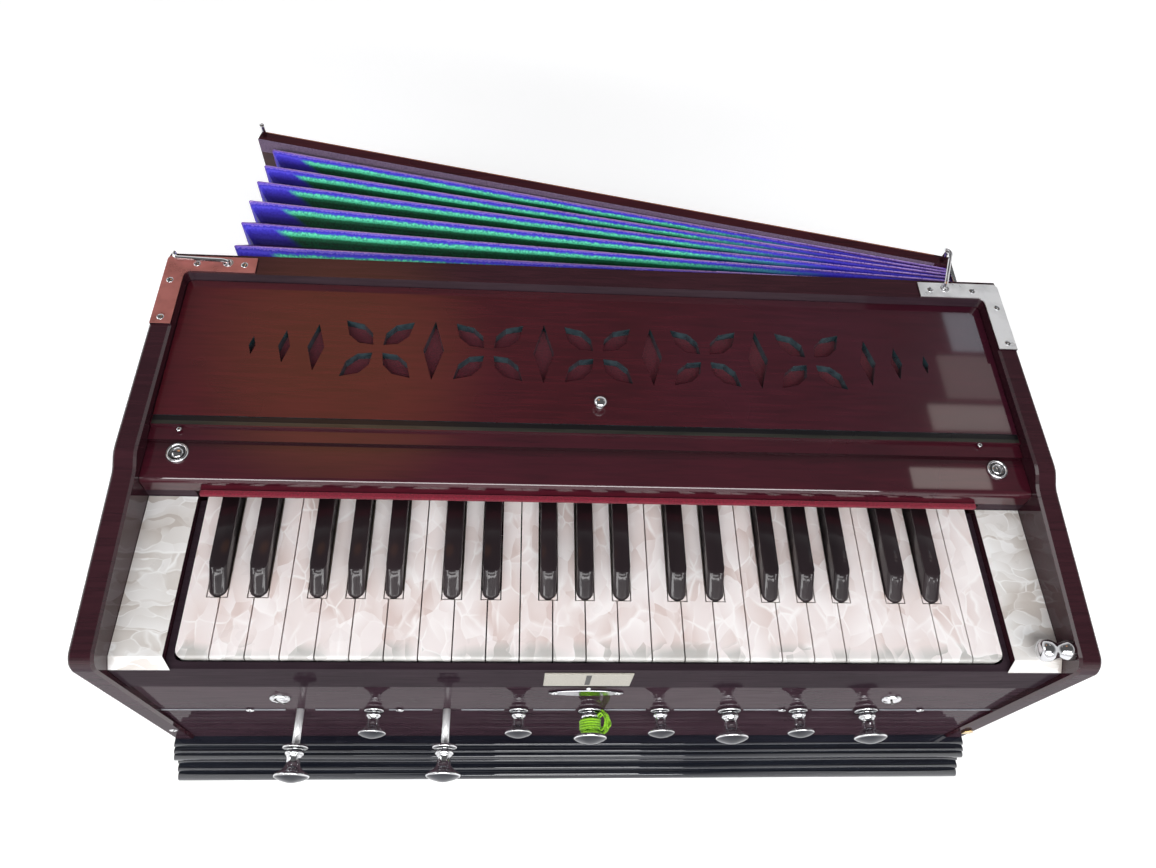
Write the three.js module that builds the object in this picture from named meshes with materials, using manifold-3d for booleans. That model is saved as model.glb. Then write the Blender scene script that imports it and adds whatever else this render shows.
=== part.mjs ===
// A 42-key hand-pumped reed organ: glued case, fluted base, lift-out fretwork lid, keyboard of pivoting
// levers, nine pull stops, a pleated fan of bellows on a swinging board, and two latch hooks.
// Millimetres. X to the player's right, Y to the back, Z up.
// The origin is on the floor under the middle of the case.
import * as THREE from "three";
import { mergeVertices } from "three/addons/utils/BufferGeometryUtils.js";
import Module from "manifold-3d";

const wasm = await Module();
wasm.setup();

// Shared clearances
const seat = 0.3;
const keyGap = 0.9;
const overrun = 2;
const weldTolerance = 1e-4;

// Case
const caseWidth = 640;
const caseDepth = 300;
const caseTop = 261;
const cheekWall = 15;
const boardWall = 12;
const topRailWidth = 17.6;
const recessCorner = 5;
const cheekBevel = 1.6;
const cheekLean = 5;
const backY = caseDepth / 2;
const frontY = -caseDepth / 2;
const innerX = caseWidth / 2 - cheekWall;

// Cheek outline
const armFrontDrop = 16;
const armBackDrop = 7;
const armCorner = 11;
const sweepLead = 2.9;
const sweepDepth = 22;
const armFrontTop = caseTop - armFrontDrop;
const armBackTop = caseTop - armBackDrop;

// Base
const baseHeight = 32;
const baseFloor = 9;
const baseRim = 22;
const mouldingReach = 26;
const coveReach = 8;
// Reeds of the base moulding from the top: how far each stands out, its middle's height, and its radius
const reedReachShares = [0.22, 0.4, 0.56, 0.57, 0.78, 1];
const reedHeightShares = [0.94, 0.865, 0.74, 0.42, 0.31, 0.13];
const reedRadiusShares = [0.06, 0.06, 0.1, 0.06, 0.07, 0.13];
const aboveCoveCount = 3;

// Keyboard
const whiteCount = 25;
const keyDrop = 40;
const keyThickness = 14;
const keyFrontInset = 7.4;
const headLength = 39.4;
const sharpRise = 11;
const sharpSlant = 14;
const sharpGap = 1.6;
const sharpFrontGap = 1.4;
const sharpCorner = 4.6;
const capUnderCover = 13.1;
const keyShow = 109.5;
const keyNose = 2.4;
const tailShort = 30;
const cornerRadius = 6;
const balanceBehindCover = 20.5;
const fulcrumRadius = 5;
const fulcrumDrop = 18;
const palletFromTail = 40;
const palletLength = 32;
const palletNeck = 1.5;
const blockWidth = 37.5;
const keyTop = caseTop - keyDrop;
const keyBottom = keyTop - keyThickness;
const keyFrontY = frontY + keyFrontInset;
const keyTailY = backY - tailShort;
const palletStartY = keyTailY - palletFromTail;
const coverFrontY = keyFrontY + keyShow;
const balanceY = coverFrontY + balanceBehindCover;
const sharpCapEndY = coverFrontY + capUnderCover;
const sweepFrontY = coverFrontY - sweepLead;
const sweepBackY = sweepFrontY + sweepDepth;
const keyboardWidth = 2 * (innerX - blockWidth);
const whitePitch = keyboardWidth / whiteCount;
const sharpBaseY = keyFrontY + headLength + sharpFrontGap;

// Key frame inside the case
const bedBelowKeys = 8.5;
const bedTop = keyBottom - bedBelowKeys;
const bedThickness = 12;
const balanceRailWidth = 20;
const windSlotWidth = 4;
const windSlotInset = 5;
const blockBeyondCover = 10.3;
const ledgeWidth = 8;
const ledgeThickness = 8;

// Key blocks and key slip
const blockRise = 3.7;
const stripWidth = 5;
const slipThickness = 6;
const slipDrop = 2;
const slipHeight = 35;
const slipTop = keyTop - slipDrop;
const slipBottom = slipTop - slipHeight;
const slipLip = 1.5;
const stripDepth = 12;

// Stop panel and stops
const panelInset = 2;
const stopCount = 9;
const stopEndMargin = 97;
const stopDrop = 67;
const stopPitch = (2 * (innerX - stopEndMargin)) / (stopCount - 1);
const stopHeight = slipBottom - stopDrop;
const stopRodRadius = 2.6;
const stopBoreClearance = 0.4;
const stopTravel = 25;
const collarRadius = 5.5;
const collarThickness = 3;
const largeHeadRadius = 12.2;
const smallHeadRadius = 10;
const knobLengthPerRadius = 2;
// How far each stop is drawn, as shares of its travel
const drawnShares = [1, 0, 1, 0, 0, 0, 0, 0, 0];

// Fretwork lid
const lidThickness = 7;
const lidRecess = 8.5;
const lidGap = 0.6;
const lidKnobRadius = 4.4;
const lidKnobHeight = 8;
const lidKnobFromFront = 15.5;
const petalLength = 30;
const petalWidth = 15;
const petalOffset = 5;
const motifEndMargin = 56.2;
const lozengeHeight = 52;
const lozengeWidth = 15;
const motifRowShare = 0.51;

// Key cover rail
const coverRise = 1.8;
const coverLipDepth = 8;
const coverStep = 2.5;
const coverNose = 4;
const coverStripDepth = 7.3;
const coverSecondDepth = 10.1;
const coverDepth = 46.8;
const coverBottom = keyTop + sharpRise + coverRise;
const coverBackY = coverFrontY + coverDepth;
const blockBackY = coverBackY + blockBeyondCover;

// Corner plates and spool knob
const plateReach = 65;
const plateSideReach = 63;
const plateSetBack = 1;
const plateBackInset = 3;
const plateThickness = 1.2;
const plateInset = 0.6;
const plateCorner = 2.5;
const spoolLength = 16;
const spoolRadius = 5.2;
const spoolDrop = 7;
const spoolHeight = armFrontTop - spoolDrop;
const spoolFromFront = 10;

// Bellows
const boardThickness = 10;
const boardDrop = 5;
const boardRise = 6;
const boardBeyondPin = 8;
const boardBeyondLatch = 4;
const pinFromEnd = 36;
const pinX = caseWidth / 2 - pinFromEnd;
const boardTop = caseTop - boardDrop;
const boardBottom = baseHeight + boardRise;
const boardLength = 2 * pinX + boardBeyondPin + boardBeyondLatch;
const foldedStack = 21;
const openAngle = THREE.MathUtils.degToRad(11.1);
// Rings of the fan from the case to the board, valley and ridge in turn, as shares of its opening
const ringShares = [0, 0.124, 0.217, 0.31, 0.4, 0.492, 0.576, 0.66, 0.732, 0.804, 0.878, 0.951, 1];
const ridgeShort = 6;
const ridgeEnd = 2 * pinX - ridgeShort;
const ridgeRightEnd = 5;
const ridgeInsetTop = 2;
const ridgeTaper = 9;
const ridgeCorner = 1.2;
const foldDepth = 11;
const clothDepth = 4;
const airHoleRadius = 9;
const airHoleSpacing = 46;
const boardFieldInset = 26;
const boardFieldDepth = 3;
const ductWidth = 150;
const ductHeight = 60;
const ductRise = 30;
const ductBottom = baseHeight + ductRise;
const hingeHeight = 14;
const hingeInset = 4;
const hingeRadius = 4.6;
const hingePinRadius = 2.4;
const hingePlate = 3;
const hingeReach = 10;
const hingeClearance = 0.4;
const pinY = backY + seat + foldedStack + boardThickness / 2;

// Latch hooks
const wireRadius = 1.5;
const latchPinRadius = 1.8;
const latchGap = 0.5;
const latchSetBack = 8.7;
const latchPivotX = pinX - latchSetBack;
const latchFromBack = 8.6;
const latchPivotY = backY - latchFromBack;
const latchLeg = 14;
const latchBend = 2.6;
const idleAngle = THREE.MathUtils.degToRad(8.4);
const hookCurl = THREE.MathUtils.degToRad(-15);
const hookRadius = latchPinRadius + latchGap + wireRadius;
const latchZ = caseTop + plateThickness + latchBend;
const postTop = latchZ + 2 * wireRadius;

const group = new THREE.Group();

// Helpers
function finish(color, roughness, metalness) {
  return new THREE.MeshStandardMaterial({ color, roughness, metalness });
}

const lacquer = () => finish(0x3a1218, 0.18, 0);
const pearl = () => finish(0xe9dcd8, 0.3, 0);
const ebony = () => finish(0x17100f, 0.22, 0);
const chrome = () => finish(0xc9ccd0, 0.12, 1);
const cloth = () => finish(0x2b2ab8, 0.55, 0);

function solid(geometry) {
  const bare = geometry.clone();
  bare.deleteAttribute("normal");
  bare.deleteAttribute("uv");
  const merged = mergeVertices(bare.index ? bare.toNonIndexed() : bare, weldTolerance);
  const vertProperties = Float32Array.from(merged.attributes.position.array);
  const triVerts = Uint32Array.from(merged.index.array);
  return new wasm.Manifold(new wasm.Mesh({ numProp: 3, vertProperties, triVerts }));
}

function geometryOf(manifold) {
  const mesh = manifold.getMesh();
  const geometry = new THREE.BufferGeometry();
  geometry.setAttribute("position", new THREE.BufferAttribute(mesh.vertProperties, 3));
  geometry.setIndex(new THREE.BufferAttribute(mesh.triVerts, 1));
  geometry.computeVertexNormals();
  return geometry;
}

function join(geometries) {
  return geometries.map(solid).reduce((whole, next) => whole.add(next));
}

function place(name, geometry, material) {
  const mesh = new THREE.Mesh(geometry, material);
  mesh.name = name;
  group.add(mesh);
  return mesh;
}

function block(x0, x1, y0, y1, z0, z1) {
  const geometry = new THREE.BoxGeometry(x1 - x0, y1 - y0, z1 - z0);
  geometry.translate((x0 + x1) / 2, (y0 + y1) / 2, (z0 + z1) / 2);
  return geometry;
}

// An outline in Y and Z, extruded along X from x0 to x1
function sideExtrusion(shape, x0, x1, bevel = 0, curveSegments = 5) {
  const geometry = new THREE.ExtrudeGeometry(shape, {
    depth: x1 - x0 - 2 * bevel,
    bevelEnabled: bevel > 0,
    bevelThickness: bevel,
    bevelSize: bevel,
    bevelOffset: -bevel,
    bevelSegments: 1,
    curveSegments,
  });
  geometry.rotateX(Math.PI / 2);
  geometry.rotateZ(Math.PI / 2);
  geometry.translate(x0 + bevel, 0, 0);
  return geometry;
}

// An outline in X and Y, extruded upwards from z0 to z1
function planExtrusion(shape, z0, z1, curveSegments = 4) {
  const geometry = new THREE.ExtrudeGeometry(shape, { depth: z1 - z0, bevelEnabled: false, curveSegments });
  geometry.translate(0, 0, z0);
  return geometry;
}

function outline(points) {
  return new THREE.Shape(points.map(([a, b]) => new THREE.Vector2(a, b)));
}

function mirrorX(geometry) {
  const mirrored = geometry.index ? geometry.toNonIndexed() : geometry.clone();
  mirrored.scale(-1, 1, 1);
  const position = mirrored.attributes.position;
  for (let i = 0; i < position.count; i += 3) {
    const second = new THREE.Vector3().fromBufferAttribute(position, i + 1);
    const third = new THREE.Vector3().fromBufferAttribute(position, i + 2);
    position.setXYZ(i + 1, third.x, third.y, third.z);
    position.setXYZ(i + 2, second.x, second.y, second.z);
  }
  return mirrored;
}

// Base: a tray with a reeded moulding along its front
function basePlinth() {
  const profile = new THREE.Shape();
  profile.moveTo(backY, 0);
  profile.lineTo(backY, baseHeight);
  reedReachShares.forEach((share, i) => {
    const radius = reedRadiusShares[i] * baseHeight;
    const middleY = frontY - share * mouldingReach + radius;
    const middleZ = reedHeightShares[i] * baseHeight;
    if (i === aboveCoveCount) profile.lineTo(frontY - coveReach, middleZ + radius);
    profile.absarc(middleY, middleZ, radius, Math.PI / 2, (3 * Math.PI) / 2, false);
    if (i + 1 === aboveCoveCount) profile.lineTo(frontY - coveReach, middleZ - radius);
  });
  profile.lineTo(frontY, 0);
  const slab = sideExtrusion(profile, -caseWidth / 2, caseWidth / 2, 0, 3);
  const hollow = block(
    -caseWidth / 2 + baseRim, caseWidth / 2 - baseRim, frontY + baseRim, backY - baseRim,
    baseFloor, baseHeight + overrun,
  );
  return geometryOf(solid(slab).subtract(solid(hollow)));
}

// Cheek: front edge leaning out to the top, round arm end, sloping arm, and an S sweep up to the back part
function cheek() {
  const bottom = baseHeight + seat;
  const armFrontY = frontY - cheekLean;
  const middle = (sweepFrontY + sweepBackY) / 2;
  const shape = new THREE.Shape();
  shape.moveTo(frontY, bottom);
  shape.lineTo(backY, bottom);
  shape.lineTo(backY, caseTop);
  shape.lineTo(sweepBackY, caseTop);
  shape.bezierCurveTo(middle, caseTop, middle, armBackTop, sweepFrontY, armBackTop);
  shape.lineTo(armFrontY + armCorner, armFrontTop);
  shape.absarc(armFrontY + armCorner, armFrontTop - armCorner, armCorner, Math.PI / 2, Math.PI, false);
  shape.lineTo(frontY, bottom);
  return sideExtrusion(shape, innerX, caseWidth / 2, cheekBevel, 6);
}

function stopX(index) {
  return (index - (stopCount - 1) / 2) * stopPitch;
}

// Lever places: the octave's first three naturals share their width among five levers,
// the other four among seven
const blackSteps = [1, 3, 6, 8, 10];
const firstGroupLevers = 5;
const firstGroupWhites = 3;
const leversPerOctave = 12;
const whitesPerOctave = 7;

function keyList() {
  const keys = [];
  const leverCount = whiteCount + Math.round((whiteCount * blackSteps.length) / whitesPerOctave) - 1;
  let white = 0;
  for (let lever = 0; lever < leverCount; lever += 1) {
    const octave = Math.floor(lever / leversPerOctave);
    const step = lever % leversPerOctave;
    const inFirst = step < firstGroupLevers;
    const groupStart = octave * whitesPerOctave + (inFirst ? 0 : firstGroupWhites);
    const whites = inFirst ? firstGroupWhites : whitesPerOctave - firstGroupWhites;
    const levers = inFirst ? firstGroupLevers : leversPerOctave - firstGroupLevers;
    const placeInGroup = inFirst ? step : step - firstGroupLevers;
    const pitch = (whites * whitePitch) / levers;
    const left = -keyboardWidth / 2 + groupStart * whitePitch + placeInGroup * pitch;
    const black = blackSteps.includes(step);
    keys.push({ lever, black, left, pitch, white: black ? null : white });
    white += black ? 0 : 1;
  }
  return keys;
}

// The lever's outline from the side: balance notch, and a pallet glued under the tail
const fulcrumZ = keyTop - fulcrumDrop;
const notchRadius = fulcrumRadius + seat;
const notchHalf = Math.sqrt(notchRadius ** 2 - (keyBottom - fulcrumZ) ** 2);
const palletBottom = bedTop + seat;

function leverUnderside(shape, fromY) {
  const start = Math.atan2(keyBottom - fulcrumZ, -notchHalf);
  const end = Math.atan2(keyBottom - fulcrumZ, notchHalf);
  shape.moveTo(fromY, keyBottom);
  shape.lineTo(balanceY - notchHalf, keyBottom);
  shape.absarc(balanceY, fulcrumZ, notchRadius, start, end, true);
  shape.lineTo(palletStartY, keyBottom);
  shape.lineTo(palletStartY - palletNeck, palletBottom);
  shape.lineTo(palletStartY + palletLength + palletNeck, palletBottom);
  shape.lineTo(palletStartY + palletLength, keyBottom);
  shape.lineTo(keyTailY, keyBottom);
}

function whiteKey(key) {
  const left = -keyboardWidth / 2 + key.white * whitePitch + keyGap / 2;
  const right = left + whitePitch - keyGap;
  const headEnd = keyFrontY + headLength;
  const head = new THREE.Shape();
  head.moveTo(keyFrontY, keyBottom);
  head.lineTo(headEnd, keyBottom);
  head.lineTo(headEnd, keyTop);
  head.lineTo(keyFrontY + keyNose, keyTop);
  head.absarc(keyFrontY + keyNose, keyTop - keyNose, keyNose, Math.PI / 2, Math.PI, false);
  const tail = new THREE.Shape();
  leverUnderside(tail, headEnd - overrun);
  tail.lineTo(keyTailY, keyTop);
  tail.lineTo(headEnd - overrun, keyTop);
  const tailLeft = Math.max(key.left + keyGap / 2, left);
  const tailRight = key.white === whiteCount - 1 ? right : key.left + key.pitch - keyGap / 2;
  const headSolid = solid(sideExtrusion(head, left, right, 0, 3));
  const tailSolid = solid(sideExtrusion(tail, tailLeft, tailRight, 0, 3));
  let body = headSolid.add(tailSolid);
  const atLeft = key.white === 0;
  if (atLeft || key.white === whiteCount - 1) {
    const cut = roundCorner(cornerRadius, keyBottom - overrun, keyTop + overrun, 0);
    cut.translate(0, keyFrontY, 0);
    body = body.subtract(solid(placeCorner(cut, atLeft ? left : right, !atLeft)));
  }
  return geometryOf(body);
}

// What a round front corner at the origin leaves out; the cut leans back by slope as it rises
function roundCorner(radius, z0, z1, slope) {
  const shape = new THREE.Shape();
  shape.moveTo(-overrun, -overrun);
  shape.lineTo(radius, -overrun);
  shape.lineTo(radius, 0);
  const steps = 4;
  for (let i = 1; i <= steps; i += 1) {
    const turn = (i / steps) * (Math.PI / 2);
    shape.lineTo(radius * (1 - Math.sin(turn)), radius * (1 - Math.cos(turn)));
  }
  shape.lineTo(-overrun, radius);
  const cut = planExtrusion(shape, z0, z1);
  cut.applyMatrix4(new THREE.Matrix4().makeShear(0, 0, 0, 0, 0, slope));
  return cut;
}

function placeCorner(cut, edge, mirrored) {
  const placed = mirrored ? mirrorX(cut) : cut;
  placed.translate(edge, 0, 0);
  return placed;
}

// Sharp: a lever that carries a cap with a slanted, round front end
function blackKey(key) {
  const shape = new THREE.Shape();
  leverUnderside(shape, sharpBaseY);
  shape.lineTo(keyTailY, keyTop);
  shape.lineTo(sharpCapEndY, keyTop);
  shape.lineTo(sharpCapEndY, keyTop + sharpRise);
  shape.lineTo(sharpBaseY + sharpSlant + keyNose, keyTop + sharpRise);
  shape.quadraticCurveTo(
    sharpBaseY + sharpSlant, keyTop + sharpRise,
    sharpBaseY + sharpSlant - keyNose, keyTop + sharpRise - keyNose,
  );
  shape.lineTo(sharpBaseY, keyTop);
  const left = key.left + sharpGap / 2;
  const right = key.left + key.pitch - sharpGap / 2;
  let body = solid(sideExtrusion(shape, left, right, 0, 3));
  for (const mirrored of [false, true]) {
    const cut = roundCorner(sharpCorner, -sharpCorner, sharpRise + overrun, sharpSlant / sharpRise);
    cut.translate(0, sharpBaseY, keyTop);
    body = body.subtract(solid(placeCorner(cut, mirrored ? right : left, mirrored)));
  }
  return geometryOf(body);
}

// Case: cheeks, stop panel, back, slotted key bed, balance rail, key blocks, lid ledges and corner plates
function caseBody() {
  const bottom = baseHeight + seat;
  const inX = innerX + cheekBevel;
  const right = cheek();
  const panelY = frontY + panelInset;
  const slipBack = frontY + slipThickness;
  const ledgeTop = caseTop - lidRecess - lidThickness - seat;
  const blockX = keyboardWidth / 2 + stripWidth;
  const blockTop = keyTop + blockRise;
  const railTop = coverBottom - seat;
  const railFront = backY - topRailWidth;
  const ledgeBottom = ledgeTop - ledgeThickness;

  const endBlock = new THREE.Shape();
  endBlock.moveTo(keyFrontY, bedTop - overrun);
  endBlock.lineTo(blockBackY, bedTop - overrun);
  endBlock.lineTo(blockBackY, railTop);
  endBlock.lineTo(coverFrontY, railTop);
  endBlock.lineTo(coverFrontY, blockTop);
  endBlock.lineTo(keyFrontY, blockTop);
  const endBlockSolid = sideExtrusion(endBlock, blockX, inX, 0);

  const balanceRail = new THREE.Shape();
  balanceRail.moveTo(balanceY - balanceRailWidth / 2, bedTop - overrun);
  balanceRail.lineTo(balanceY + balanceRailWidth / 2, bedTop - overrun);
  balanceRail.lineTo(balanceY + balanceRailWidth / 2, fulcrumZ - seat);
  balanceRail.lineTo(balanceY + fulcrumRadius, fulcrumZ - seat);
  balanceRail.absarc(balanceY, fulcrumZ, fulcrumRadius, 0, Math.PI, false);
  balanceRail.lineTo(balanceY - fulcrumRadius, fulcrumZ - seat);
  balanceRail.lineTo(balanceY - balanceRailWidth / 2, fulcrumZ - seat);

  const parts = [
    right,
    mirrorX(right),
    block(-inX, inX, panelY, panelY + boardWall, bottom, slipBottom - seat),
    block(-inX, inX, backY - boardWall, backY, bottom, caseTop),
    block(-inX, inX, railFront, backY - overrun, ledgeBottom, caseTop),
    block(-inX, inX, slipBack + seat, panelY + boardWall, slipBottom - boardWall, bedTop),
    block(-inX, inX, slipBack + seat, backY - overrun, bedTop - bedThickness, bedTop),
    sideExtrusion(balanceRail, -inX, inX, 0, 6),
    block(-inX, inX, railFront - ledgeWidth, backY - overrun, ledgeBottom, ledgeTop),
    endBlockSolid,
    mirrorX(endBlockSolid),
    blockLip(),
    mirrorX(blockLip()),
    cornerPlate(),
    mirrorX(cornerPlate()),
    recessFillet(ledgeBottom),
    mirrorX(recessFillet(ledgeBottom)),
    spoolKnob(),
    ...hingeHeights().map(hingeBracket),
  ];
  for (const side of [-1, 1]) {
    const wallX = side * inX;
    const edgeX = side * (innerX - ledgeWidth);
    parts.push(
      block(
        Math.min(wallX, edgeX), Math.max(wallX, edgeX), blockBackY, backY - overrun,
        ledgeBottom, ledgeTop,
      ),
    );
  }
  let body = join(parts);

  const boreRadius = stopRodRadius + stopBoreClearance;
  for (let i = 0; i < stopCount; i += 1) {
    const bore = new THREE.CylinderGeometry(boreRadius, boreRadius, boardWall + 2 * overrun, 10);
    bore.translate(stopX(i), panelY + boardWall / 2, stopHeight);
    body = body.subtract(solid(bore));
  }
  const duct = block(
    -ductWidth / 2, ductWidth / 2, backY - boardWall - overrun, backY + overrun,
    ductBottom, ductBottom + ductHeight,
  );
  body = body.subtract(solid(duct));
  for (const side of [-1, 1]) {
    const legHole = wireRadius + seat;
    const hole = new THREE.CylinderGeometry(legHole, legHole, 2 * (latchLeg + seat), 10);
    hole.rotateX(Math.PI / 2);
    hole.translate(side * latchPivotX, latchPivotY, latchZ);
    body = body.subtract(solid(hole));
  }
  for (const key of keyList()) {
    const middle = key.left + key.pitch / 2;
    const slot = block(
      middle - windSlotWidth / 2, middle + windSlotWidth / 2, palletStartY + windSlotInset,
      palletStartY + palletLength - windSlotInset, bedTop - bedThickness - overrun, bedTop + overrun,
    );
    body = body.subtract(solid(slot));
  }
  return geometryOf(body);
}

// Chrome corner plate on the top of the right-hand back corner: its side leg is flush with the cheek's
// inner face, so the lid lifts past it
function cornerPlate() {
  const outerX = caseWidth / 2 - plateInset;
  const outerY = backY - plateBackInset;
  const innerY = backY - topRailWidth + plateSetBack;
  const shape = new THREE.Shape();
  shape.moveTo(outerX - plateReach, innerY);
  shape.lineTo(innerX - recessCorner, innerY);
  shape.absarc(innerX - recessCorner, innerY - recessCorner, recessCorner, Math.PI / 2, 0, true);
  shape.lineTo(innerX, outerY - plateSideReach);
  shape.lineTo(outerX, outerY - plateSideReach);
  shape.lineTo(outerX, outerY - plateCorner);
  shape.lineTo(outerX - plateCorner, outerY);
  shape.lineTo(outerX - plateReach, outerY);
  return planExtrusion(shape, caseTop - overrun, caseTop + plateThickness);
}

// Rounded inner corner of the lid's recess at the right-hand end of the top rail
function recessFillet(bottom) {
  const railFront = backY - topRailWidth;
  const shape = new THREE.Shape();
  shape.moveTo(innerX + cheekBevel, railFront + overrun);
  shape.lineTo(innerX - recessCorner, railFront + overrun);
  shape.lineTo(innerX - recessCorner, railFront);
  shape.absarc(innerX - recessCorner, railFront - recessCorner, recessCorner, Math.PI / 2, 0, true);
  shape.lineTo(innerX + cheekBevel, railFront - recessCorner);
  return planExtrusion(shape, bottom, caseTop);
}

// Pearl-faced front of the right-hand key block: it slopes down over the key slip
// and is mitred at its inner end
function blockLip() {
  const inner = keyboardWidth / 2;
  const outer = innerX + cheekBevel;
  const wedge = outline([
    [keyFrontY + overrun, keyTop + blockRise],
    [keyFrontY, keyTop + blockRise],
    [frontY + seat, slipTop + 2 * seat],
    [frontY + seat, slipTop + seat],
    [keyFrontY + overrun, slipTop + seat],
  ]);
  const plan = outline([
    [inner + seat, frontY],
    [outer, frontY],
    [outer, keyFrontY + overrun],
    [inner + stripWidth, keyFrontY + overrun],
    [inner + stripWidth, keyFrontY],
  ]);
  const reach = keyTop + blockRise + overrun;
  const bar = solid(sideExtrusion(wedge, inner, outer));
  return geometryOf(bar.intersect(solid(planExtrusion(plan, 0, reach))));
}

// Foot of each hinge knuckle
function hingeHeights() {
  return [boardBottom + hingeInset, boardTop - hingeInset - hingeHeight];
}

// Hinge plate on the back of the case, with its knuckle round the board's pin
function hingeBracket(z) {
  const outer = pinX + hingeReach;
  const halfPlate = hingePlate / 2;
  const knuckle = new THREE.CylinderGeometry(hingeRadius, hingeRadius, hingeHeight, 14);
  const eyeRadius = hingePinRadius + seat;
  const eye = new THREE.CylinderGeometry(eyeRadius, eyeRadius, hingeHeight + 2 * overrun, 12);
  for (const turned of [knuckle, eye]) {
    turned.rotateX(Math.PI / 2);
    turned.translate(pinX, pinY, z + hingeHeight / 2);
  }
  const arm = block(outer - hingePlate, outer, backY - overrun, pinY + halfPlate, z, z + hingeHeight);
  const link = block(pinX, outer, pinY - halfPlate, pinY + halfPlate, z, z + hingeHeight);
  return geometryOf(join([knuckle, arm, link]).subtract(solid(eye)));
}

function spoolKnob() {
  const radiusShares = [0, 0.72, 1, 1, 0.66, 0.6, 0.86, 0.86, 0];
  const lengthShares = [1, 0.97, 0.86, 0.68, 0.5, 0.36, 0.22, -0.1, -0.1];
  const profile = radiusShares.map((share, i) => {
    return new THREE.Vector2(share * spoolRadius, lengthShares[i] * spoolLength);
  });
  const geometry = new THREE.LatheGeometry(profile.reverse(), 12);
  geometry.rotateZ(Math.PI / 2);
  geometry.translate(innerX, frontY + spoolFromFront, spoolHeight);
  return geometry;
}

// U-shaped surround: the key slip in front and a strip beside each end key
function keySurround() {
  const reach = innerX - seat;
  const stripInner = keyboardWidth / 2 + keyGap / 2;
  const stripOuter = keyboardWidth / 2 + stripWidth - seat;
  const slipBack = frontY + slipThickness;
  const noseY = (slipBack + keyFrontY - keyGap) / 2;
  const front = outline([
    [frontY, slipBottom],
    [slipBack, slipBottom],
    [slipBack, slipTop],
    [frontY + slipLip, slipTop],
    [frontY, slipTop - slipLip],
  ]);
  let body = solid(sideExtrusion(front, -reach, reach));
  for (const side of [-1, 1]) {
    const x0 = Math.min(side * stripInner, side * stripOuter);
    const x1 = Math.max(side * stripInner, side * stripOuter);
    const strip = block(x0, x1, slipBack - overrun, coverFrontY - seat, slipTop - stripDepth, slipTop);
    body = body.add(solid(strip));
    const fill = new THREE.Shape();
    const edge = side * stripInner;
    const insideStrip = edge + (side * stripWidth) / 2;
    fill.moveTo(insideStrip, slipBack - overrun);
    fill.lineTo(edge - side * cornerRadius, slipBack - overrun);
    fill.lineTo(edge - side * cornerRadius, noseY);
    fill.quadraticCurveTo(edge, noseY, edge, noseY + cornerRadius);
    fill.lineTo(insideStrip, noseY + cornerRadius);
    body = body.add(solid(planExtrusion(fill, slipTop - stripDepth, slipTop)));
  }
  return geometryOf(body);
}

// Cover rail over the balance: two small steps, a broad face and a round nose
function keyCoverRail() {
  const top = caseTop - lidRecess;
  const lipTop = top - lidThickness - seat;
  const firstStep = coverBackY - coverStripDepth;
  const secondStep = firstStep - coverSecondDepth;
  const faceTop = top - 2 * coverStep;
  const shape = new THREE.Shape();
  shape.moveTo(coverFrontY, coverBottom);
  shape.lineTo(coverBackY + coverLipDepth, coverBottom);
  shape.lineTo(coverBackY + coverLipDepth, lipTop);
  shape.lineTo(coverBackY, lipTop);
  shape.lineTo(coverBackY, top);
  shape.lineTo(firstStep, top);
  shape.lineTo(firstStep, top - coverStep);
  shape.lineTo(secondStep, top - coverStep);
  shape.lineTo(secondStep, faceTop);
  shape.lineTo(coverFrontY + coverNose, faceTop);
  shape.absarc(coverFrontY + coverNose, faceTop - coverNose, coverNose, Math.PI / 2, Math.PI, false);
  const reach = innerX - seat;
  return sideExtrusion(shape, -reach, reach, 0, 5);
}

// Fretwork lid: pierced flowers and lozenges in a row, and a small pull knob
function petal(centreX, centreY, angle, length, width) {
  const path = new THREE.Path();
  const tip = (share, across) => {
    const along = share * length;
    const x = centreX + along * Math.cos(angle) - across * Math.sin(angle);
    const y = centreY + along * Math.sin(angle) + across * Math.cos(angle);
    return [x, y];
  };
  const pointShares = [0, 0.28, 0.62, 1];
  const widthShares = [0, 0.86, 0.92, 0];
  pointShares.forEach((share, i) => {
    const [x, y] = tip(share, (widthShares[i] * width) / 2);
    if (i === 0) path.moveTo(x, y);
    else path.lineTo(x, y);
  });
  pointShares.slice(1, -1).reverse().forEach((share, i) => {
    const [x, y] = tip(share, (-widthShares[pointShares.length - 2 - i] * width) / 2);
    path.lineTo(x, y);
  });
  path.closePath();
  return path;
}

function lozenge(centreX, centreY, height, width) {
  const path = new THREE.Path();
  path.moveTo(centreX, centreY - height / 2);
  path.lineTo(centreX + width / 2, centreY);
  path.lineTo(centreX, centreY + height / 2);
  path.lineTo(centreX - width / 2, centreY);
  path.closePath();
  return path;
}

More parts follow.
